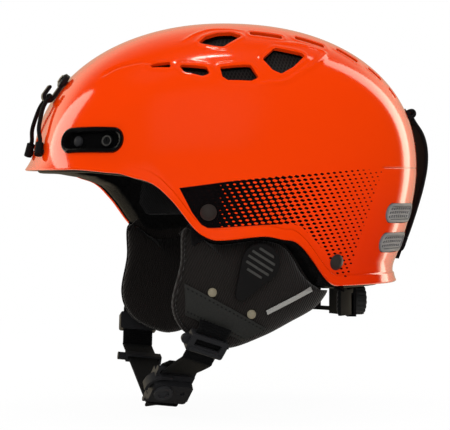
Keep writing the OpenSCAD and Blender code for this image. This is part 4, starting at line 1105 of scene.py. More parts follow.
@dataclass(frozen=True)
class ShellForm:
    """The helmet's outside as a function of azimuth and height; spans are places along the helmet (Y)."""

    half_front: float = 134.5
    half_rear: float = 135
    half_width: float = 108
    plan_power: float = 2.25
    dome_powers: Triple = (2.12, 2.2, 2.3)
    crown: float = 104
    base: float = 3
    brim: float = 2
    brim_drop: float = 2.4
    brim_spans: Edge = ((-118, -92), (-90, -72))
    ear: float = -44.5
    cheek_span: Pair = (-95, -32)
    cheek_lift: float = 5.2
    cheek_spans: Edge = ((-86, -66), (-62, -44))
    arch: float = 2.5
    arch_spans: Edge = ((-32, 0), (0, 16))
    nape: float = -75.5
    nape_span: Pair = (16, 57)
    flares: Triple = (1.5, 4, 5.5)
    flare_high: float = 14
    tucks: Pair = (5, 15)
    tuck_high: float = 72
    tuck_power: float = 1.7
    liner_lip: float = 3

    def plan(self, az: Num, grow: float = 0) -> Array:
        """Radius in plan at the base of the dome.

        Args:
            az: Azimuth, or one for each point.
            grow: Offset of the surface.

        Returns:
            Distance from the upright axis.
        """
        c, s = np.cos(np.radians(az)), np.sin(np.radians(az))
        a = np.where(c > 0, self.half_front, self.half_rear) + grow
        b = self.half_width + grow
        power = self.plan_power
        return ((abs(c) / a) ** power + (abs(s) / b) ** power) ** (-1 / power)

    def shares(self, az: Num) -> tuple[Array, Array, Array]:
        """How much an azimuth belongs to the front, the back and the sides."""
        c, s = np.cos(np.radians(az)), np.sin(np.radians(az))
        return np.maximum(0, c) ** 2, np.maximum(0, -c) ** 2, s**2

    def power(self, az: Num) -> Array:
        """Power of the dome's arch."""
        return sum(power * share for power, share in zip(self.dome_powers, self.shares(az)))

    def rim_at(self, y: Num) -> Array:
        """Height of the shell's edge at a place along the helmet.

        Args:
            y: Place along the helmet, or many.

        Returns:
            Height of the edge there.
        """
        return (
            self.brim
            + (self.ear - self.brim) * ramp(y, *self.cheek_span)
            + self.arch * hump(y, *self.arch_spans)
            + self.cheek_lift * hump(y, *self.cheek_spans)
            - self.brim_drop * hump(y, *self.brim_spans)
            + (self.nape - self.ear) * ramp(y, *self.nape_span)
        )

    def rim(self, az: Num) -> Array:
        """Height of the shell's edge at an azimuth."""
        return self.rim_at(-self.plan(az) * np.cos(np.radians(az)))

    def liner_edge(self, az: Num) -> Array:
        """Height of the liner's edge, which shows below the shell's."""
        return self.rim(az) - self.liner_lip

    def flare(self, az: Num, z: Num) -> Array:
        """How far the edge turns out.

        Args:
            az: Azimuth, or one for each point.
            z: Height, or one for each point.

        Returns:
            Distance that the edge adds to the wall's radius.
        """
        least, front, rear = self.flares
        ahead, behind, _ = self.shares(az)
        share = np.clip(1 - (z - self.rim(az)) / self.flare_high, 0, 1)
        return (least + front * ahead + rear * behind) * share**2

    def wall(self, az: Num, z: Num, grow: float = 0) -> Array:
        """Radius of the wall without the turned-out edge.

        Args:
            az: Azimuth, or one for each point.
            z: Height, or one for each point.
            grow: Offset of the surface.

        Returns:
            Distance from the upright axis.
        """
        n = self.power(az)
        u = np.clip(np.maximum(0, z - self.base) / (self.crown + grow - self.base), 0, 1)
        least, rear = self.tucks
        below = np.maximum(0, self.base - z) / self.tuck_high
        tuck = (least + rear * self.shares(az)[1]) * below**self.tuck_power
        return self.plan(az, grow) * np.maximum(0, 1 - u**n) ** (1 / n) - tuck

    @staticmethod
    def at(az: Num, r: Num, z: Num) -> Array:
        """Points at azimuths, radii and heights."""
        turn = np.radians(az)
        return np.stack(np.broadcast_arrays(r * np.sin(turn), -r * np.cos(turn), z), -1)

    def top(self, grow: float) -> Array:
        """Highest point of the surface at an offset from the outside."""
        return np.array([0, 0, self.crown + grow])

    def skin(self, az: Num, z: Num, grow: float = 0) -> Array:
        """Points of the outside."""
        return self.at(az, self.wall(az, z, grow) + self.flare(az, z), np.asarray(z, float))

    def frame(self, az: Num, z: Num) -> tuple[Array, Array, Array, Array]:
        """Place on the outside with its directions along, up and out.

        Args:
            az: Azimuth, or one for each point.
            z: Height, or one for each point.

        Returns:
            The place, then unit directions along, up and out.
        """
        along = unit(self.skin(az + 0.2, z) - self.skin(az - 0.2, z))
        upward = unit(self.skin(az, z + 0.1) - self.skin(az, z - 0.1))
        out = unit(np.cross(along, upward))
        return self.skin(az, z), along, np.cross(out, along), out

    def off(self, az: Num, z: Num, gap: float) -> Array:
        """Points at a gap from the outside."""
        point, _, _, out = self.frame(az, z)
        return point + gap * out

    def beside(self, az: float, z: float, length: Num) -> Num:
        """Azimuth at a length along the wall from a place."""
        return az + np.degrees(length / np.linalg.norm(self.skin(az, z)[:2]))

    def heights(self, az: Array, rows: tuple[int, int], grow: float, low: Array) -> Array:
        """Heights of the grid's rows from the crown down to an edge.

        Args:
            az: Azimuths of the columns.
            rows: Number of rows on the dome and on the turned-out edge.
            grow: Offset of the surface.
            low: Height of the edge at each azimuth.

        Returns:
            Heights of shape (rows, columns).
        """
        dome, edge = ((np.arange(1, count + 1) / count)[:, None] for count in rows)
        n = self.power(az)
        high = self.crown - self.base
        top = self.rim(az) + self.flare_high
        above = top - self.base
        share = np.clip(above, 0, None) / high
        over, under = np.degrees(np.arccos(share ** (n / 2))), 90 - np.degrees(above / high)
        sweep = np.where(above >= 0, over, under) * dome
        arch = self.base + (high + grow) * np.cos(np.radians(np.minimum(sweep, 90))) ** (2 / n)
        upper = np.where(sweep <= 90, arch, self.base - np.radians(sweep - 90) * high)
        return np.vstack([upper, top + (low - top) * edge])

    def prism(self, az: float, z: float, outline: Array, deep: float, proud: float) -> Solid:
        """Straight prism through the wall over an outline (along, up).

        Args:
            az: Azimuth of its middle.
            z: Height of its middle.
            outline: Corners, as lengths along and up.
            deep: Where it starts, out of the wall.
            proud: Where it ends, out of the wall.

        Returns:
            The prism.
        """
        point, along, up, out = self.frame(az, z)
        flat = point + outline[:, :1] * along + outline[:, 1:] * up
        return Solid.loft(np.stack([flat + deep * out, flat + proud * out]))

    def oval(self, az: float, z: float, length: float, high: float, deep: float, proud: float) -> Solid:
        """Rounded slab that follows the wall between two depths.

        Args:
            az: Azimuth of its middle.
            z: Height of its middle.
            length: Length along the wall.
            high: Height.
            deep: Where it starts, out of the wall.
            proud: Where it ends, out of the wall.

        Returns:
            The slab.
        """
        u, v = stadium(length, high, 40)
        rings = [self.off(self.beside(az, z, u), z + v, d) for d in np.linspace(deep, proud, 4)]
        return Solid.loft(np.stack(rings))


FORM = ShellForm()


@dataclass(frozen=True)
class Vent:
    """Opening in the crown: azimuth, drop below the crown, and corners (along, up)."""

    az: float
    drop: float
    corners: tuple[Pair, ...]
    round: float = 1.8

    @property
    def z(self) -> float:
        """Height of the opening's middle."""
        return FORM.crown - self.drop

    def outline(self, margin: float = 0) -> Array:
        """Rounded outline, wider by a margin."""
        given = np.array(self.corners)
        return rounded_hull(given + margin * unit(given), self.round)

    @classmethod
    def slot(cls, az: float, drop: float, length: float, turn: float) -> "Vent":
        """Narrow opening of a length, turned by an angle.

        Args:
            az: Azimuth of its middle.
            drop: Drop of its middle below the crown.
            length: Its length.
            turn: Its angle from the level.

        Returns:
            The opening.
        """
        width, corner = 4, 1.6
        c, s = math.cos(math.radians(turn)), math.sin(math.radians(turn))
        half = [(x * length / 2, y * width / 2) for x, y in ((-1, -1), (1, -1), (1, 1), (-1, 1))]
        return cls(az, drop, tuple((x * c - y * s, x * s + y * c) for x, y in half), corner)


VENTS = (
    Vent(49, 33.3, ((-7, 0), (-6, -1.5), (7, -1.5), (6, 2)), 1.2),
    Vent(64.2, 37.4, ((-11, 4.5), (-9, 0.5), (5, -4), (8, -2), (6.5, 2.5))),
    Vent(81.6, 38.9, ((-12.5, 4.5), (-12, -2.5), (-9.5, -5), (8.5, -5.5), (12, -3), (8.5, 6.5), (5.5, 7))),
    Vent(102.2, 30.5, ((-13, 2.5), (0, 14.5), (18, 9), (7.5, -4), (-4.5, -10.5), (-9, -7.5)), 2.6),
    Vent(
        72.7, 14.8,
        ((-14, -4.5), (-10, 4), (0, 11), (9.5, 11.5), (14, 7), (5.5, -1), (0.5, -10.5), (-4.5, -9.5)), 2.6,
    ),
    Vent.slot(104, 11, 22, -16),
    Vent.slot(129.5, 15, 21, -36),
    Vent.slot(145, 23.5, 17, -63),
    Vent.slot(152, 36, 12, -66),
    Vent.slot(155, 49, 8, -80),
)


@dataclass
class OuterShell(Assembly):
    """Lacquered shell: a fine wall with lips, contour ridges, a rolled edge and cut openings."""

    columns: int = 560
    outer_rows: tuple[int, int] = (150, 22)
    inner_rows: tuple[int, int] = (40, 8)
    thick: float = 2.5
    edge_round: float = 1.1
    vent_reach: float = 30
    lip_high: float = 0.45
    lip_off: float = 1.8
    lip_wide: float = 1.3
    dip_deep: float = 0.7
    dip_wide: float = 0.8
    line_steps: int = 14
    ridge_high: float = 0.9
    ridge_wide: float = 1.7
    ridge_fade: float = 12
    ridge_from: Pair = (30, 45)
    ridges: tuple[tuple[Triple, ...], ...] = (
        (
            (58.6, -45.8, 86.4), (51.1, -33.8, 92.7), (46.1, -22.5, 96.3), (47.9, -10.6, 96.7),
            (50.8, 2.2, 95.8),
        ),
        (
            (66.7, 16.6, 87.3), (64.2, 35.6, 86.3), (64.5, 52.2, 81.8), (74.6, 47.5, 75.6),
            (82.3, 39.3, 70.5), (89.4, 27.3, 64.7), (93.9, 17.4, 59.6), (95.5, 4.2, 57.9),
            (95.9, -8.4, 57.1),
        ),
    )
    groove_deep: float = 1.1
    groove_wide: float = 1.5
    groove_fade: float = 18
    groove_near: Triple = (40, -55, 50)
    groove: tuple[Triple, ...] = (
        (49.1, -98.5, 62.8), (49, -95.1, 65.9), (51.5, -89.1, 69.4), (56.4, -81.3, 72), (62.5, -72.5, 73.3),
        (67.8, -67.8, 71.9),
    )
    roll_high: float = 0.9
    roll_wide: float = 7
    roll_soft: float = 1.4
    roll_span: Pair = (-92, -60)
    clip_at: Pair = (31.5, 20.5)
    clip_size: Pair = (51.6, 17.1)
    rear_at: tuple[float, Pair] = (149, (-28, -48))
    rear_size: Pair = (46.6, 13.6)
    reach: float = 9

    @staticmethod
    def normals(points: Array) -> Array:
        """Outward normals of a grid that closes around.

        Args:
            points: Grid of shape (rows, columns, 3).

        Returns:
            Unit normals of the same shape.
        """
        around = np.roll(points, -1, 1) - np.roll(points, 1, 1)
        down = np.gradient(points, axis=0)
        return unit(np.cross(down, around))

    def relief(self, points: Array) -> Array:
        """Height of the moulded relief over the plain outside: lips of the vents, ridges and front groove.

        Args:
            points: The plain outside, of shape (rows, columns, 3).

        Returns:
            Heights of shape (rows, columns).
        """
        flat = points.reshape(-1, 3).copy()
        flat[:, 0] = abs(flat[:, 0])
        high = np.zeros(len(flat))
        for vent in VENTS:
            middle, along, up, _ = FORM.frame(vent.az, vent.z)
            near = np.flatnonzero(np.linalg.norm(flat - middle, axis=1) < self.vent_reach)
            off = flat[near] - middle
            gap = outline_distance(np.stack([off @ along, off @ up], -1), vent.outline())
            lip = self.lip_high * bell(gap - self.lip_off, self.lip_wide)
            lip -= self.dip_deep * bell(np.maximum(gap, 0), self.dip_wide)
            high[near] = np.where(abs(lip) > abs(high[near]), lip, high[near])
        x, y, z = flat.T
        near = np.flatnonzero((x > self.ridge_from[0]) & (z > self.ridge_from[1]))
        for ridge in self.ridges:
            line = catmull(ridge, self.line_steps)
            gap, index = line_distance(flat[near], line)
            fade = np.clip(np.minimum(index, len(line) - 1 - index) / self.ridge_fade, 0, 1)
            high[near] = np.maximum(high[near], self.ridge_high * fade * bell(gap, self.ridge_wide))
        side, front, low = self.groove_near
        near = np.flatnonzero((x > side) & (y < front) & (z > low))
        gap, index = line_distance(flat[near], catmull(self.groove, self.line_steps))
        high[near] -= self.groove_deep * ramp(index, 0, self.groove_fade) * bell(gap, self.groove_wide)
        return high.reshape(points.shape[:2])

    def roll(self, points: Array) -> Array:
        """Height of the rolled edge beside the ears and at the nape.

        Args:
            points: The plain outside, of shape (rows, columns, 3).

        Returns:
            Heights of shape (rows, columns).
        """
        step = np.linalg.norm(np.diff(points, axis=0), axis=-1)
        up = np.zeros(points.shape[:2])
        up[:-1] = np.cumsum(step[::-1], axis=0)[::-1]
        share = ramp(points[..., 1], *self.roll_span)
        return self.roll_high * share * (1 - ramp(up, self.roll_wide - self.roll_soft, self.roll_wide))

    @property
    def ovals(self) -> list[tuple[float, float, float, float]]:
        """Azimuth, height, length and breadth of the left side's oval openings."""
        rear, heights = self.rear_at
        return [(*self.clip_at, *self.clip_size), *((rear, z, *self.rear_size) for z in heights)]

    def openings(self, margin: float, slack: float, vent_deep: float, oval_deep: float) -> Solid:
        """Everything that is cut through the wall, or out of what lies behind it.

        Args:
            margin: How much wider than the vents the cuts are.
            slack: How much longer and broader than the ovals the cuts are.
            vent_deep: Depth behind the vents.
            oval_deep: Depth behind the ovals.

        Returns:
            The cuts of both sides.
        """
        cuts = [FORM.prism(v.az, v.z, v.outline(margin), -vent_deep, self.reach) for v in VENTS]
        for az, z, length, high in self.ovals:
            cuts.append(FORM.oval(az, z, length + slack, high + slack, -oval_deep, self.reach))
        return reduce(add, cuts).both_sides()

    def build(self) -> list[bpy.types.Object]:
        """Makes the shell and cuts its openings.

        Returns:
            The shell.
        """
        az = np.linspace(0, 360, self.columns, endpoint=False)
        low = FORM.rim(az)
        plain = FORM.skin(az, FORM.heights(az, self.outer_rows, 0, low))
        outer = plain + self.normals(plain) * (self.relief(plain) + self.roll(plain))[..., None]
        inner = FORM.skin(az, FORM.heights(az, self.inner_rows, -self.thick, low)[::-1], -self.thick)
        edge = round_edge(outer[-1], inner[0], (30, 60, 90, 120, 150), self.edge_round)
        rings = np.concatenate([outer, edge, inner])
        shell = Solid.loft(rings, (FORM.top(0), FORM.top(-self.thick))).to_object("shell_surface")
        cut(shell, self.openings(0, 0, self.reach, self.reach))
        return [place(shell, "helmet", "shell", "outer_shell")]


@dataclass
class FoamLiner(Assembly):
    """Foam liner: a smooth thick wall with pockets behind the shell's openings."""

    shell: OuterShell
    columns: int = 240
    outer_rows: tuple[int, int] = (60, 14)
    inner_rows: tuple[int, int] = (50, 14)
    outside: float = -3.5
    thick: float = 20
    edge_thick: float = 14
    edge_high: float = 30
    edge_round: float = 2.2
    edge_square: float = 0.55
    edge_lift: float = 2
    vent_margin: float = 1.4
    vent_pocket: float = 7.1
    oval_slack: float = 0.6
    oval_pocket: float = 6.3

    @property
    def inside(self) -> float:
        """Offset of the inside from the shell's outside."""
        return self.outside - self.thick

    def inner_r(self, az: Num, z: Num) -> Array:
        """Radius of the inside, where the wall thins towards its edge."""
        thin = ramp(FORM.liner_edge(az) + self.edge_high - z, 0, self.edge_high)
        return FORM.wall(az, z, self.inside) + (self.thick - self.edge_thick) * thin

    def build(self) -> list[bpy.types.Object]:
        """Makes the liner with its pockets.

        Returns:
            The liner.
        """
        az = np.linspace(0, 360, self.columns, endpoint=False)
        low = FORM.liner_edge(az)
        z = FORM.heights(az, self.outer_rows, self.outside, low)
        outer = FORM.at(az, FORM.wall(az, z, self.outside), z)
        z = FORM.heights(az, self.inner_rows, self.inside, low)[::-1]
        inner = FORM.at(az, self.inner_r(az, z), z)
        angles = (20, 45, 70, 90, 110, 135, 160)
        edge = round_edge(outer[-1], inner[0], angles, self.edge_round, self.edge_square)
        outer[-1, :, 2] += self.edge_lift
        inner[0, :, 2] += self.edge_lift
        rings = np.concatenate([outer, edge + [0, 0, self.edge_round], inner])
        liner = Solid.loft(rings, (FORM.top(self.outside), FORM.top(self.inside))).to_object("liner_foam")
        cut(liner, self.shell.openings(self.vent_margin, self.oval_slack, self.vent_pocket, self.oval_pocket))
        return [place(liner, "helmet", "foam", "foam_liner")]


# ---------------------------------------------------------------- soft pieces


@dataclass
class EarPad(Assembly):
    """Sewn ear cushion with piping round it, a coated band and a plain tape."""

    side: Side
    top_gap: float = 0.8
    top_y: tuple[float, ...] = (-50, -30, 0, 18, 32, 45)
    shift: float = 1.32
    high: float = 68
    thick: float = 20
    fill: float = 0.75
    middle_x: float = 90
    middle_y: float = -5
    lean: float = 7
    bow: float = 0.002
    swell_powers: Pair = (3.2, 0.55)
    low: tuple[Pair, ...] = (
        (50, 0.53), (41, 0.69), (23, 0.83), (4, 0.965), (-20, 1.075), (-40, 0.985), (-52, 0.85), (-57, 0.62),
        (-52, 0.25),
    )
    shares: tuple[float, ...] = (
        0.12, 0.25, 0.38, 0.5, 0.6, 0.68, 0.75, 0.81, 0.86, 0.9, 0.935, 0.96, 0.98, 0.993,
    )
    band: tuple[Edge, Edge] = (((-50.5, 0.43), (4.5, 0.88)), ((-49.5, 0.74), (-11, 1.0)))
    band_wide: float = 15
    band_thick: float = 1.6
    tape: tuple[Edge, Edge] = (((3.4, 0.7), (35.4, 0.475)), ((4.6, 0.744), (36.6, 0.519)))
    tape_wide: float = 3
    tape_thick: float = 0.8
    strip_gap: float = 0.8
    piping_share: float = 0.985
    piping_x: float = 4.2
    piping_r: float = 1.1
    hem_x: float = -1.6
    hem_span: Pair = (-49, 44)
    hem_up: float = 1.5
    hem_size: Pair = (11, 0.8)
    grille_at: Pair = (-1.5, -60.5)
    grille_r: float = 10.2
    grille_depths: Pair = (1.3, 1.9)

    def top_at(self, y: Num) -> Array:
        """Height of the upper edge, which stays under the liner."""
        rim = np.minimum(FORM.rim_at(y), FORM.rim_at(y * self.shift))
        return rim - FORM.liner_lip - self.top_gap

    @property
    def outline(self) -> Array:
        """Smooth outline in side view (along, up)."""
        top = [(y, float(self.top_at(y))) for y in self.top_y]
        return catmull(top + [tuple(self.on_pad(at)) for at in self.low], 8, closed=True)

    @property
    def middle(self) -> Array:
        """Middle of the outline."""
        return self.on_pad((self.middle_y, 0.5))

    def on_pad(self, at: Sequence[float]) -> Array:
        """Place in side view of a length along the helmet and a share of the pad's height."""
        return np.array([at[0], FORM.ear - at[1] * self.high])

    def sheet_x(self, flat: Array) -> Array:
        """Middle of the cushion's thickness at places in side view."""
        lean = self.lean * (FORM.ear - flat[..., 1]) / self.high
        return self.middle_x - lean - self.bow * flat[..., 0] ** 2

    def swell(self, share: Num) -> Array:
        """Half thickness at a share of the way to the edge."""
        first, last = self.swell_powers
        return self.thick / 2 * np.maximum(0, 1 - np.minimum(1, share) ** first) ** last

    def share(self, flat: Array) -> Array:
        """Share of the way from the middle to the edge.

        Args:
            flat: Places in side view.

        Returns:
            0 in the middle and 1 on the edge, for each place.
        """
        rim = self.outline - self.middle
        turn = np.arctan2(rim[:, 1], rim[:, 0])
        order = np.argsort(turn)
        reach = np.linalg.norm(rim, axis=1)[order]
        off = flat - self.middle
        edge = np.interp(np.arctan2(off[..., 1], off[..., 0]), turn[order], reach, period=2 * np.pi)
        return np.linalg.norm(off, axis=-1) / edge

    def face(self, flat: Array, off: float) -> Array:
        """Points over the outer face at a gap."""
        x = self.sheet_x(flat) + self.swell(self.share(flat)) + off
        return np.concatenate([x[..., None], flat], -1)

    def ring(self, share: float, side: int) -> Array:
        """Closed ring of the cushion at a share of the way to its edge."""
        flat = self.middle + (self.outline - self.middle) * share
        return np.concatenate([(self.sheet_x(flat) + side * self.swell(share))[:, None], flat], -1)

    def cushion(self) -> Solid:
        """Cushion that is full in its middle and drawn in to a sewn edge.

        Returns:
            The left cushion.
        """
        rings = [self.ring(s, -1) for s in self.shares]
        rings += [self.ring(1, 1)] + [self.ring(s, 1) for s in self.shares[::-1]]
        x = float(self.sheet_x(self.middle))
        inner, outer = (np.array([x + s * self.thick / 2, *self.middle]) for s in (-1, 1))
        return Solid.loft(np.stack(rings), (inner, outer))

    def strip(self, edges: tuple[Edge, Edge], width: float, thick: float) -> Solid:
        """Strip that lies on the face between two edges.

        Args:
            edges: Upper and lower edge, each by its two ends.
            width: Width that the UV counts across.
            thick: Thickness in its middle.

        Returns:
            The strip, with lengths across and along it as UV.
        """
        run = np.linspace(0, 1, 31)
        section = np.linspace(-1, 1, 13)
        upper, lower = ([self.on_pad(end) for end in edge] for edge in edges)
        top, low = (e[0] + (e[1] - e[0]) * run[:, None, None] for e in (upper, lower))
        flat = low + (top - low) * (section[None, :, None] + 1) / 2
        face = self.face(flat, self.strip_gap)
        crown = thick * (0.35 + 0.65 * (1 - abs(section) ** 5))
        raised = face + np.array([1, 0, 0]) * crown[None, :, None]
        solid = Solid.loft(np.concatenate([raised, face[:, ::-1]], 1))
        across = np.concatenate([section, section[::-1]]) * width / 2
        return solid.measured(across, np.linalg.norm(upper[1] - upper[0]) * run)

    def piping(self) -> Solid:
        """Round piping along the front edge, from the top to the lowest point.

        Returns:
            The left piping.
        """
        flat = self.middle + (self.outline - self.middle) * self.piping_share
        front = np.vstack([flat[int(flat[:, 1].argmin()) :], flat[:1]])
        path = np.concatenate([(self.sheet_x(front) + self.piping_x)[:, None], front], -1)
        return tube(path, self.piping_r, 10, (1, 0, 0))

    def backing(self) -> Solid:
        """Gauze disc in the grille's slots.

        Returns:
            The left disc.
        """
        turn = circle(40)
        disc = self.grille_r * np.stack([0 * turn, np.cos(turn), np.sin(turn)], -1)
        at = np.array(self.grille_at)
        return Solid.loft(np.stack([self.face(at, deep) + disc for deep in self.grille_depths]))

    def hem(self) -> Solid:
        """Cloth that closes the gap between the cushion and the liner, on the inside.

        Returns:
            The left hem.
        """
        y = np.linspace(*self.hem_span, 40)
        top = self.top_at(y)
        x = self.sheet_x(np.stack([y, top], -1)) + self.hem_x
        path = np.stack([x, y, top + self.hem_up], -1)
        return ribbon(path, np.tile([0.0, 0, 1], (len(path), 1)), *self.hem_size)

    def add(self, solid: Solid, name: str, slot: str, *nodes: str) -> bpy.types.Object:
        """Places a solid of the left side on this side.

        Args:
            solid: Solid of the left side.
            name: Name of the piece without its side.
            slot: Material slot that gives its finish.
            nodes: CAD nodes that it stands for, without their side.

        Returns:
            The piece.
        """
        label = self.side.label
        shown = solid if self.side is Side.LEFT else solid.mirrored()
        return place(shown.to_object(f"{label}_{name}"), "helmet", slot, *(f"{label}_{n}" for n in nodes))

    def build(self) -> list[bpy.types.Object]:
        """Makes the cushion, its piping and what is sewn on it.

        Returns:
            Its six pieces.
        """
        cushion = self.add(self.cushion(), "ear_cushion", "ear_pad", "ear_pad")
        band = self.strip(self.band, self.band_wide, self.band_thick)
        tape = self.strip(self.tape, self.tape_wide, self.tape_thick)
        return [
            cushion,
            self.add(self.piping(), "pad_piping", "ear_pad"),
            self.add(self.backing(), "grille_backing", "clip_stud"),
            self.add(self.hem(), "pad_hem", "ear_pad"),
            self.add(band, "pad_band_strip", "band", "pad_band"),
            self.add(tape, "pad_tape_strip", "tape", "pad_tape"),
        ]


@dataclass
class ComfortPads(Assembly):
    """Knit pads on the liner's inside."""

    liner: FoamLiner
    columns: int = 48
    gap: float = 1
    thick: float = 6
    rim_thick: float = 1.6
    fill: float = 0.6
    seam_deep: float = 0.22
    seam_wide: float = 2.2
    brow: Pair = (-42, 42)
    brow_over: Pair = (9, 36)
    temple: Pair = (62, 112)
    temple_over: float = 10
    temple_z: Pair = (-30, 28)
    nape: Pair = (146, 214)
    nape_z: Pair = (-38, 10)
    crown_r: float = 46
    crown_rings: tuple[Pair, ...] = (
        (0.3, 0), (0.6, 0), (0.85, 0), (0.96, 0.08), (1, 0.3), (0.97, 0.6), (0.88, 0.86), (0.7, 0.96),
        (0.4, 1),
    )

    def edge(self, az: Pair) -> Array:
        """Height of the liner's edge at each column of a pad."""
        return FORM.liner_edge(np.linspace(*az, self.columns))

    def wall_pad(self, az: Pair, low: Num, high: Num) -> Solid:
        """Pad along the inner wall, thickest in its middle.

        Args:
            az: First and last azimuth.
            low: Lower edge, or its height at each column.
            high: Upper edge, or its height at each column.

        Returns:
            The pad.
        """
        a = np.linspace(*az, self.columns)[:, None]
        run = np.linspace(0, 1, 15)
        low, high = (np.broadcast_to(edge, self.columns)[:, None] for edge in (low, high))
        z = low + (high - low) * run
        wall = FORM.at(a, self.liner.inner_r(a, z), z)
        back = wall - self.gap * FORM.at(a, 1.0, np.full_like(z, 0.5))
        across = np.sin(np.pi * np.linspace(0, 1, self.columns))[:, None]
        fill = np.sqrt(np.sin(np.pi * run)[None] * across + 1e-12)
        seam = 1 - self.seam_deep * bell(a - sum(az) / 2, self.seam_wide)
        thick = self.rim_thick + (self.thick - self.rim_thick) * fill * seam
        inward = unit(FORM.at(a, 1.0, 0.9 * ramp(z, 10, FORM.crown)))
        face = wall - (self.gap + thick)[..., None] * inward
        return Solid.loft(np.concatenate([back, face[:, ::-1]], 1))

    def crown_pad(self) -> Solid:
        """Round pad under the crown.

        Returns:
            The pad.
        """
        az = np.linspace(0, 360, 64, endpoint=False)
        grow = self.liner.inside
        n = FORM.power(az)
        rings = []
        for share, deep in self.crown_rings:
            r = self.crown_r * share
            arch = (1 - (r / FORM.plan(az, grow)) ** n) ** (1 / n)
            z = FORM.base - self.gap + (FORM.crown + grow - FORM.base) * arch
            rings.append(FORM.at(az, r, z - self.thick * deep))
        return Solid.loft(np.stack(rings))

    def build(self) -> list[bpy.types.Object]:
        """Makes all pads.

        Returns:
            The five pads.
        """
        low, high = (self.edge(self.brow) + over for over in self.brow_over)
        foot, top = self.temple_z
        temple = self.wall_pad(self.temple, np.maximum(self.edge(self.temple) + self.temple_over, foot), top)
        pads = {
            "brow_pad": self.wall_pad(self.brow, low, high),
            "left_temple_pad": temple,
            "right_temple_pad": temple.mirrored(),
            "nape_pad": self.wall_pad(self.nape, *self.nape_z),
            "crown_pad": self.crown_pad(),
        }
        pieces = []
        for node, solid in pads.items():
            pieces.append(place(solid.to_object(f"{node}_cushion"), "helmet", "pad", node))
        return pieces


# ---------------------------------------------------------------- straps


@dataclass(frozen=True)
class BuckleFrame:
    """Axes of the buckle: along the strap, across it and out of it."""

    top: Triple = (57, -48, -133)
    end: Triple = (34.6, -53.3, -155.8)
    bar_r: float = 1.7
    bar_gap: float = 0.4
    web: float = 1.6

    @property
    def along(self) -> Array:
        """Direction along the strap."""
        return unit(np.subtract(self.end, self.top).astype(float))

    @staticmethod
    def across(way: Array) -> Array:
        """Direction across a band that runs along way."""
        return unit(np.array([0, 1, 0]) - way[1] * way)

    @property
    def out(self) -> Array:
        """Direction out of the buckle."""
        return np.cross(self.along, self.across(self.along))

    @property
    def bar_x(self) -> float:
        """Distance of each bar from the middle."""
        return float(np.linalg.norm(np.subtract(self.end, self.top))) / 2

    @property
    def loop_r(self) -> float:
        """Radius of the webbing's turn round a bar."""
        return self.bar_r + self.bar_gap + self.web / 2

    def point(self, x: float, z: float) -> Array:
        """Place in the buckle's middle plane."""
        return np.add(self.top, self.end) / 2 + x * self.along + z * self.out

    def loop(self, x: float, first: float, last: float) -> list[Array]:
        """The webbing's turn round a bar between two angles."""
        turn = np.radians(np.linspace(first, last, 13))
        return [self.point(x + self.loop_r * math.cos(a), self.loop_r * math.sin(a)) for a in turn]


@dataclass(frozen=True)
class StrapRun:
    """Upper part of a webbing and its places between slider and buckle.

    Attributes:
        leaves: Where it leaves the pad, along the helmet and as a share of the pad's height.
        slider: Middle of its slider.
        way: Direction through the slider.
        travel: How far the slider moves.
        shares: Places between the slider and the bar.
        flip: Signs that turn the left pad into this side's.
    """

    leaves: Pair
    slider: Triple
    way: Triple
    travel: float
    shares: tuple[float, ...]
    flip: Triple = (1, 1, 1)

    @property
    def heading(self) -> Array:
        """Unit direction through the slider."""
        return unit(np.array(self.way))


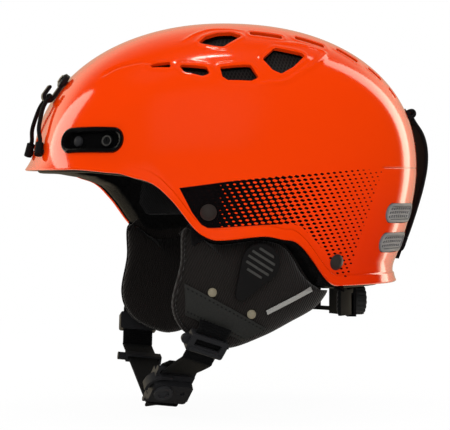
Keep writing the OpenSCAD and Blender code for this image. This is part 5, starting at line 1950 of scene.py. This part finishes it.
@dataclass
class ChinStrap(Assembly):
    """Webbing of both sides, from the ear pads round the buckle's bars."""

    pad: EarPad
    buckle: BuckleFrame = field(default_factory=BuckleFrame)
    width: float = 22
    off: float = 5.6
    slider_l: float = 13
    straight: tuple[float, ...] = (-0.8, -0.55, 0.55)
    sewn: float = 11
    tail_out: Pair = (1, 1.2)
    bend: Pair = (0.7, 0.94)
    left: StrapRun = StrapRun((-31, 0.83), (91.5, -36.5, -114), (-0.45, -0.35, -0.82), 5, (0.3, 0.6, 0.85))
    right: StrapRun = StrapRun(
        (-42, 0.72), (-94.5, -42.2, -110.5), (0.35, -0.1, -0.93), 9, (0.2, 0.5, 0.8, 0.93), (-1, 1, 1)
    )

    def through(self, run: StrapRun) -> Array:
        """Straight way through a slider, as long as its travel.

        Args:
            run: The side's route.

        Returns:
            Points of the way, in turn.
        """
        end = run.travel / self.slider_l
        lengths = np.array([*self.straight, 0.55 + end, 0.7 + end]) * self.slider_l
        return np.array(run.slider) + run.heading * lengths[:, None]

    def band(self, run: StrapRun, top: Array, loop: list[Array], back: Array, lift: Array) -> Solid:
        """Webbing through a slider, round a bar and back to its sewn end.

        Args:
            run: The side's route over the pad and through the slider.
            top: Where the webbing meets the bar.
            loop: Turn round the bar.
            back: Where the webbing leaves the bar.
            lift: How far the sewn end stands off the run at its tip.

        Returns:
            The webbing.
        """
        at = self.pad.on_pad(run.leaves)
        aside = np.array([self.width / 3, 0])
        wide = unit(self.pad.face(at + aside, 0) - self.pad.face(at - aside, 0)) * run.flip
        through = self.through(run)
        last = through[-1]
        between = [last + (top - last) * f for f in run.shares]
        tail = [back - unit(top - last) * self.sewn * f + lift * f for f in (0.5, 1)]
        path = np.array([self.pad.face(at, self.off) * run.flip, *through, *between, *loop, *tail])
        turn = ramp(np.arange(1, len(path)), len(through), len(through) + 1 + len(between))[:, None]
        b = self.buckle
        side = np.vstack([wide, b.across(run.heading) * (1 - turn) + b.across(b.along) * turn])
        return ribbon(catmull(path, 5), catmull(side, 5), self.width, b.web)

    def build(self) -> list[bpy.types.Object]:
        """Makes both webbings; the right one is tied to no body.

        Returns:
            The left and the right webbing.
        """
        b, x, r = self.buckle, self.buckle.bar_x, self.buckle.loop_r
        lifts = b.out * self.tail_out[0], -b.along * self.tail_out[1]
        left = self.band(self.left, b.point(-x, r), b.loop(-x, 90, -90), b.point(-x, -r), lifts[0])
        top = b.point(x + r, 0)
        right = self.band(self.right, top, b.loop(x, 0, 180), b.point(x - r, 0), lifts[1])
        fixed = place(left.to_object("left_chin_band"), "helmet", "webbing", "left_chin_webbing")
        bent = place(right.to_object("right_chin_band"), None, "webbing", "right_chin_webbing")
        last = self.through(self.right)[-1]
        start, end = (last + (top - last) * f for f in self.bend)
        tuple(start * MM)
        tuple(end * MM)
        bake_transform(bent)
        return [fixed, bent]


@dataclass
class AnchorWebbing(Assembly):
    """Webbing that the rivets clamp behind the shell, down to the liner's edge."""

    rivets: tuple[Pair, Pair] = ((69.9, -27), (118.7, -60.5))
    width: float = 22
    thick: float = 1.6
    deep: float = 3.7
    above: float = 7.5
    edge_gap: float = 0.5

    def band(self, az: float, high: float) -> Solid:
        """Webbing from above a rivet down to the edge.

        Args:
            az: Azimuth of the rivet.
            high: Height of the rivet.

        Returns:
            The left side's webbing.
        """
        z = np.linspace(high + self.above, float(FORM.liner_edge(az)) + self.edge_gap, 24)
        point, along, _, out = FORM.frame(np.full_like(z, az), z)
        path = point - out * (self.deep + self.thick / 2 + FORM.flare(az, z))[:, None]
        return ribbon(path, along, self.width, self.thick)

    def build(self) -> list[bpy.types.Object]:
        """Makes the webbing of both sides.

        Returns:
            The left and the right webbing.
        """
        both = reduce(add, (self.band(*at) for at in self.rivets))
        pieces = []
        for side, solid in ((Side.LEFT, both), (Side.RIGHT, both.mirrored())):
            piece = solid.to_object(f"{side.label}_anchor_band")
            pieces.append(place(piece, "helmet", "webbing", f"{side.label}_anchor_webbing"))
        return pieces


# ---------------------------------------------------------------- trim


@dataclass
class WingPads(Assembly):
    """Cushions on the inside of the nape cradle's wings."""

    middle_y: float = 13.7134
    dial_z: float = -90.5
    radius: float = 74.85
    thick: float = 3.4
    rim_thick: float = 0.5
    fill: float = 0.6
    heights: Pair = (-8.4, 9.05)
    angles: Pair = (30.2, 43.8)

    def cushion(self) -> Solid:
        """Cushion of the left wing, thickest in its middle.

        Returns:
            The left cushion.
        """
        turn = np.radians(np.linspace(*self.angles, 25))[:, None]
        run, across = np.linspace(-1, 1, 17), np.linspace(-1, 1, 25)[:, None]
        z = self.dial_z + sum(self.heights) / 2 + run * (self.heights[1] - self.heights[0]) / 2
        fill = (1 - abs(across) ** 4) ** 0.5 * (1 - abs(run[None]) ** 4) ** 0.5
        inner = self.radius - self.rim_thick - (self.thick - self.rim_thick) * fill
        rings = []
        for r in (np.full_like(inner, self.radius), inner):
            arc = r * np.sin(turn), self.middle_y + r * np.cos(turn), z[None]
            rings.append(np.stack(np.broadcast_arrays(*arc), -1))
        return Solid.loft(np.concatenate([rings[0], rings[1][:, ::-1]], 1))

    def build(self) -> list[bpy.types.Object]:
        """Makes both cushions; the right wing is the left one turned over.

        Returns:
            The left and the right cushion.
        """
        left = self.cushion()
        right = replace(left, points=left.points * [-1, 1, -1] + [0, 0, 2 * self.dial_z])
        pieces = []
        for wing, solid in (("left_wing", left), ("right_wing", right)):
            pieces.append(place(solid.to_object(f"{wing}_cushion"), wing, "pad", f"{wing}_pad"))
        return pieces


@dataclass
class ClipRims(Assembly):
    """Polished rims round the trays of the side clips, and a ring on each tray's screw."""

    shell: OuterShell
    inset: float = 3
    radius: float = 1.15
    proud: float = 0.7
    screw_u: float = 12
    screw_top: float = -2.45
    ring_at: float = 3.1
    ring_r: float = 0.42

    def build(self) -> list[bpy.types.Object]:
        """Makes the rims and rings of both sides.

        Returns:
            The rims and the rings.
        """
        az, z = self.shell.clip_at
        length, high = (s - self.inset for s in self.shell.clip_size)
        u, v = stadium(length, high, 96)
        path = FORM.off(FORM.beside(az, z, u), z + v, self.proud)
        rim = tube(np.vstack([path, path[:2]]), self.radius, 14, FORM.frame(az, z)[3])
        point, along, up, out = FORM.frame(FORM.beside(az, z, self.screw_u), z)
        turn = circle(96)[:, None]
        path = point + out * self.screw_top + self.ring_at * (np.cos(turn) * along + np.sin(turn) * up)
        ring = tube(np.vstack([path, path[:2]]), self.ring_r, 10, out)
        return [
            place(rim.both_sides().to_object("clip_rims"), "helmet", "clip"),
            place(ring.both_sides().to_object("clip_rings"), "helmet", "clip_stud"),
        ]


@dataclass
class RearVents(Assembly):
    """Pierced plates of the rear vents: rows of slanted slots."""

    shell: OuterShell
    size: Pair = (41.4, 8.4)
    depths: Pair = (-0.8, 0.3)
    cut_depths: Pair = (-4, 2)
    slot: Pair = (2.4, 1.7)
    pitch: Pair = (4.1, 2.7)
    columns: int = 9
    stagger: float = 0.3
    slant: float = 24

    def slots(self, az: float, z: float) -> Solid:
        """Slots of one plate, as one cutter.

        Args:
            az: Azimuth of its middle.
            z: Height of its middle.

        Returns:
            The cutter.
        """
        wide, high = (s / 2 for s in self.slot)
        lean = math.tan(math.radians(self.slant)) * high
        corners = (-wide - lean, -high), (wide - lean, -high), (wide + lean, high), (-wide + lean, high)
        outline = np.array(corners)
        step, rise = self.pitch
        cuts = []
        for row in (-1, 0, 1):
            for u in (np.arange(self.columns) - self.columns // 2 + self.stagger * row) * step:
                cuts.append(FORM.prism(FORM.beside(az, z, u), z + row * rise, outline, *self.cut_depths))
        return reduce(add, cuts)

    def build(self) -> list[bpy.types.Object]:
        """Makes the plates of both sides.

        Returns:
            All plates as one piece.
        """
        az, heights = self.shell.rear_at
        plates = reduce(add, (FORM.oval(az, z, *self.size, *self.depths) for z in heights))
        piece = plates.both_sides().to_object("rear_vent_plates")
        cut(piece, reduce(add, (self.slots(az, z) for z in heights)).both_sides())
        return [place(piece, "helmet", "vent_mesh", "rear_vent_meshes")]


@dataclass
class RearStrap(Assembly):
    """Moulded strap over the back of the shell: heights and gaps of its middle line."""

    azimuth: float = 180
    width: float = 28
    thick: float = 3
    line: tuple[Pair, ...] = (
        (33, 6.5), (25, 9.5), (16, 10.6), (5, 10), (-8, 8.2), (-22, 6.6), (-36, 5.6), (-44, 5.2),
    )

    def build(self) -> list[bpy.types.Object]:
        """Makes the strap with soft edges.

        Returns:
            The strap.
        """
        path = catmull([FORM.off(self.azimuth, z, gap) for z, gap in self.line], 6)
        band = ribbon(path, np.tile([1.0, 0, 0], (len(path), 1)), self.width, self.thick)
        return [place(band.to_object("rear_strap_band"), "rear_strap", "rubber", "rear_strap")]


@dataclass
class LampCord(Assembly):
    """Elastic cord from two ferrules over the lamp hook; its route is azimuth, height and gap."""

    route: tuple[Triple, ...] = ((5.9, 28, 4.2), (4.4, 36, 4.8), (2.9, 43, 5.3))
    foot: Pair = (8.6, 13)
    ferrule_off: float = 3.1
    ferrule_depths: Triple = (3.3, 6.2, 9)
    lean: float = 22
    hook_z: float = 54
    seat_out: float = 4.7
    seat_drop: float = 5.1
    spread: float = 4.2
    sag: float = 0.8
    radius: float = 1.5

    def in_ferrule(self, deep: float) -> Array:
        """Place along the left ferrule's bore.

        Args:
            deep: Length from the ferrule's foot.

        Returns:
            The place.
        """
        point, along, up, out = FORM.frame(*self.foot)
        turn = math.radians(self.lean)
        return point + self.ferrule_off * out + deep * (up * math.cos(turn) - along * math.sin(turn))

    def build(self) -> list[bpy.types.Object]:
        """Makes the cord as one braided tube.

        Returns:
            The cord.
        """
        point, along, up, out = FORM.frame(0, self.hook_z)
        seat = point + out * self.seat_out - up * self.seat_drop
        half = [self.in_ferrule(deep) for deep in self.ferrule_depths]
        half += [FORM.off(*at) for at in self.route]
        half.append(seat + along * self.spread - np.array([0, 0, self.sag]))
        path = catmull([*half, seat, *(p * [-1, 1, 1] for p in half[::-1])], 8)
        cord = tube(path, self.radius, 14, (0, -1, 0.35))
        return [place(cord.to_object("lamp_cord_braid"), "helmet", "cord", "lamp_cord")]


@dataclass
class RigidNodes(Assembly):
    """CAD nodes that stay in view: their finishes and softened edges."""

    bevel: float = 0.45
    bevel_from: float = 38
    weld: float = 0.01
    plain: tuple[str, ...] = ("vent_nets",)
    special: ClassVar[dict[str, str]] = {"clip_screws": "hook", "clip_studs": "boss"}

    def build(self) -> list[bpy.types.Object]:
        """Finishes every node that no piece stands for.

        Returns:
            The finished nodes.
        """
        shown = {name: node for name, node in frame["nodes"].items() if not node.hide_render}
        for name, node in shown.items():
            node.data.materials.clear()
            node.data.materials.append(finish_of(self.special.get(name, SLOT_OF[name])))
            if name not in self.plain:
                self.soften(node)
        return list(shown.values())

    def soften(self, node: bpy.types.Object) -> None:
        """Adds a small bevel along a node's sharp edges.

        Args:
            node: Node to soften.
        """
        node.modifiers.new("weld", "WELD").merge_threshold = self.weld * MM
        bevel = node.modifiers.new("bevel", "BEVEL")
        bevel.width = self.bevel * MM
        bevel.segments = 2
        bevel.limit_method = "ANGLE"
        bevel.angle_limit = math.radians(self.bevel_from)
        bevel.use_clamp_overlap = True
        bevel.harden_normals = False
        node.modifiers.new("normals", "WEIGHTED_NORMAL")


# ---------------------------------------------------------------- studio


@dataclass(frozen=True)
class Lamp:
    """Soft box that looks at the helmet.

    Attributes:
        name: Name of the lamp.
        at: Its place in metres.
        size: Its width and height in metres.
        watts: Its power.
        shines: Whether it shows in the gloss.
    """

    name: str
    at: Triple
    size: Pair
    watts: float
    shines: bool = False
    tint: ClassVar[Rgb] = (1, 0.94, 0.8)

    def build(self) -> None:
        """Adds the lamp to the scene."""
        data = bpy.data.lights.new(self.name, "AREA")
        data.shape = "ELLIPSE" if self.shines else "RECTANGLE"
        data.size, data.size_y = self.size
        data.energy = self.watts
        made = bpy.data.objects.new(self.name, data)
        made.location = self.at
        made.rotation_euler = Vector(self.at).to_track_quat("Z", "Y").to_euler()
        made.visible_glossy = self.shines
        if self.shines:
            data.color = self.tint
        bpy.context.scene.collection.objects.link(made)


LAMPS = (
    Lamp("key", (2.2, -0.5, 1.5), (2.4, 2.4), 31),
    Lamp("front_strip", (-1.03, -1.46, 0.3), (0.72, 2.3), 13, shines=True),
    Lamp("rear_strip", (-0.72, 1.65, 0.65), (0.5, 3.0), 9.5, shines=True),
    Lamp("spark", (-0.1, 0, 1.7), (0.5, 0.04), 1.5, shines=True),
    Lamp("top", (-0.1, 0, 1.7), (1.8, 0.7), 10),
    Lamp("far_side", (-2.0, 0.2, 0.8), (1.4, 1.4), 12),
)


@dataclass
class Studio:
    """Camera, lamps, floor and background."""

    azimuth: float = 75.5
    elevation: float = 0.7
    distance: float = 1500
    target: Triple = (0, 0, -30)
    lens: float = 170.5
    sensor: float = 36
    clip_m: float = 50
    floor_z: float = -165.5
    floor_m: float = 8
    floor_tones: Pair = (0.93, 0.97)
    floor_blot: float = 60
    floor_roughness: float = 0.9
    floor_glow: float = 0.96
    floor_far: Pair = (0.3, 1)
    fill: float = 0.44
    mirror: float = 0.55
    mirror_span: Pair = (-0.35, -0.9)
    wall: float = 1.8
    wall_edge: Pair = (-0.46, -0.6)
    wall_fade: Pair = (-0.6, -0.98)
    wall_top: Pair = (0.2, 0.65)
    warm: Rgb = (1, 0.85, 0.6)

    @property
    def back(self) -> Vector:
        """Direction from the target to the camera."""
        az, el = math.radians(self.azimuth), math.radians(self.elevation)
        return Vector((math.sin(az) * math.cos(el), -math.cos(az) * math.cos(el), math.sin(el)))

    def camera(self) -> None:
        """Camera at the photo's angle."""
        data = bpy.data.cameras.new("camera")
        data.lens = self.lens
        data.sensor_width = self.sensor
        data.clip_end = self.clip_m
        data.dof.use_dof = False
        made = bpy.data.objects.new("camera", data)
        made.location = (Vector(self.target) + self.back * self.distance) * MM
        made.rotation_euler = self.back.to_track_quat("Z", "Y").to_euler()
        bpy.context.scene.collection.objects.link(made)
        bpy.context.scene.camera = made

    def world(self) -> None:
        """White for the camera, an even fill for the object, and a backdrop behind it in the gloss."""
        scene = bpy.context.scene
        graph = Graph(bpy.data.worlds.new("studio"))
        camera, through, gloss = graph.rays("Camera", "Transmission", "Glossy")
        seen = camera.math("MAXIMUM", through)
        way = graph.node("ShaderNodeTexCoord", {}, {}, "Generated")
        facing = graph.dot(way, tuple(self.back))
        dimming = (self.wall - self.mirror) * facing.ramp(*self.wall_fade)
        wall = facing.ramp(*self.wall_edge) * (self.wall - dimming)
        above = graph.axes(way)[2].ramp(*self.wall_top)
        mirrored = wall + (facing.ramp(*self.mirror_span) * self.mirror - wall) * above
        level = gloss * mirrored + (1 - gloss) * self.fill
        tint = graph.mix(gloss, (1, 1, 1, 1), (*self.warm, 1))
        graph.set(Color=tint, Strength=seen + (1 - seen) * level)
        scene.world = graph.owner
        scene.view_settings.view_transform = "Standard"

    def floor(self) -> None:
        """Pale floor that keeps the object's shadow."""
        bpy.ops.mesh.primitive_plane_add(size=self.floor_m, location=(0, 0, self.floor_z * MM))
        made = bpy.context.object
        made.name = "floor"
        made.visible_glossy = False
        graph = Graph(bpy.data.materials.new("floor"))
        dark, pale = ((tone, tone, tone, 1) for tone in self.floor_tones)
        tone = graph.mix(graph.noise(self.floor_blot), dark, pale)
        graph.set(Base_Color=tone, Roughness=self.floor_roughness, Specular_IOR_Level=0.0)
        x, y, _ = graph.axes(graph.place)
        far = (x * x + y * y).math("SQRT").ramp(*self.floor_far)
        share = graph.rays("Camera")[0] * (self.floor_glow + (1 - self.floor_glow) * far)
        glow = graph.node("ShaderNodeEmission", {}, {"Strength": 1.0})
        plain = Sock(graph, graph.shader.outputs[0])
        mixed = graph.node("ShaderNodeMixShader", {}, {0: share, 1: plain, 2: glow})
        graph.feed(graph.tree.nodes["Material Output"].inputs["Surface"], mixed)
        made.data.materials.append(graph.owner)

    def build(self) -> None:
        """Sets the whole studio."""
        self.camera()
        self.world()
        self.floor()
        for lamp in LAMPS:
            lamp.build()


def main() -> None:
    """Builds every sub-assembly in order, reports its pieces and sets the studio."""
    logging.basicConfig(level=logging.INFO, format="%(name)s: %(message)s")
    shell = OuterShell()
    liner = FoamLiner(shell)
    pads = [EarPad(side) for side in Side]
    parts: list[Assembly] = [shell, liner, *pads, ComfortPads(liner), ChinStrap(pads[0]), AnchorWebbing()]
    parts += [WingPads(), ClipRims(shell), RearVents(shell), RearStrap(), LampCord(), RigidNodes()]
    for part in parts:
        for piece in part.build():
            log.info("%s: %s", type(part).__name__, piece.name)
    Studio().build()


if __name__ == "__main__":
    main()
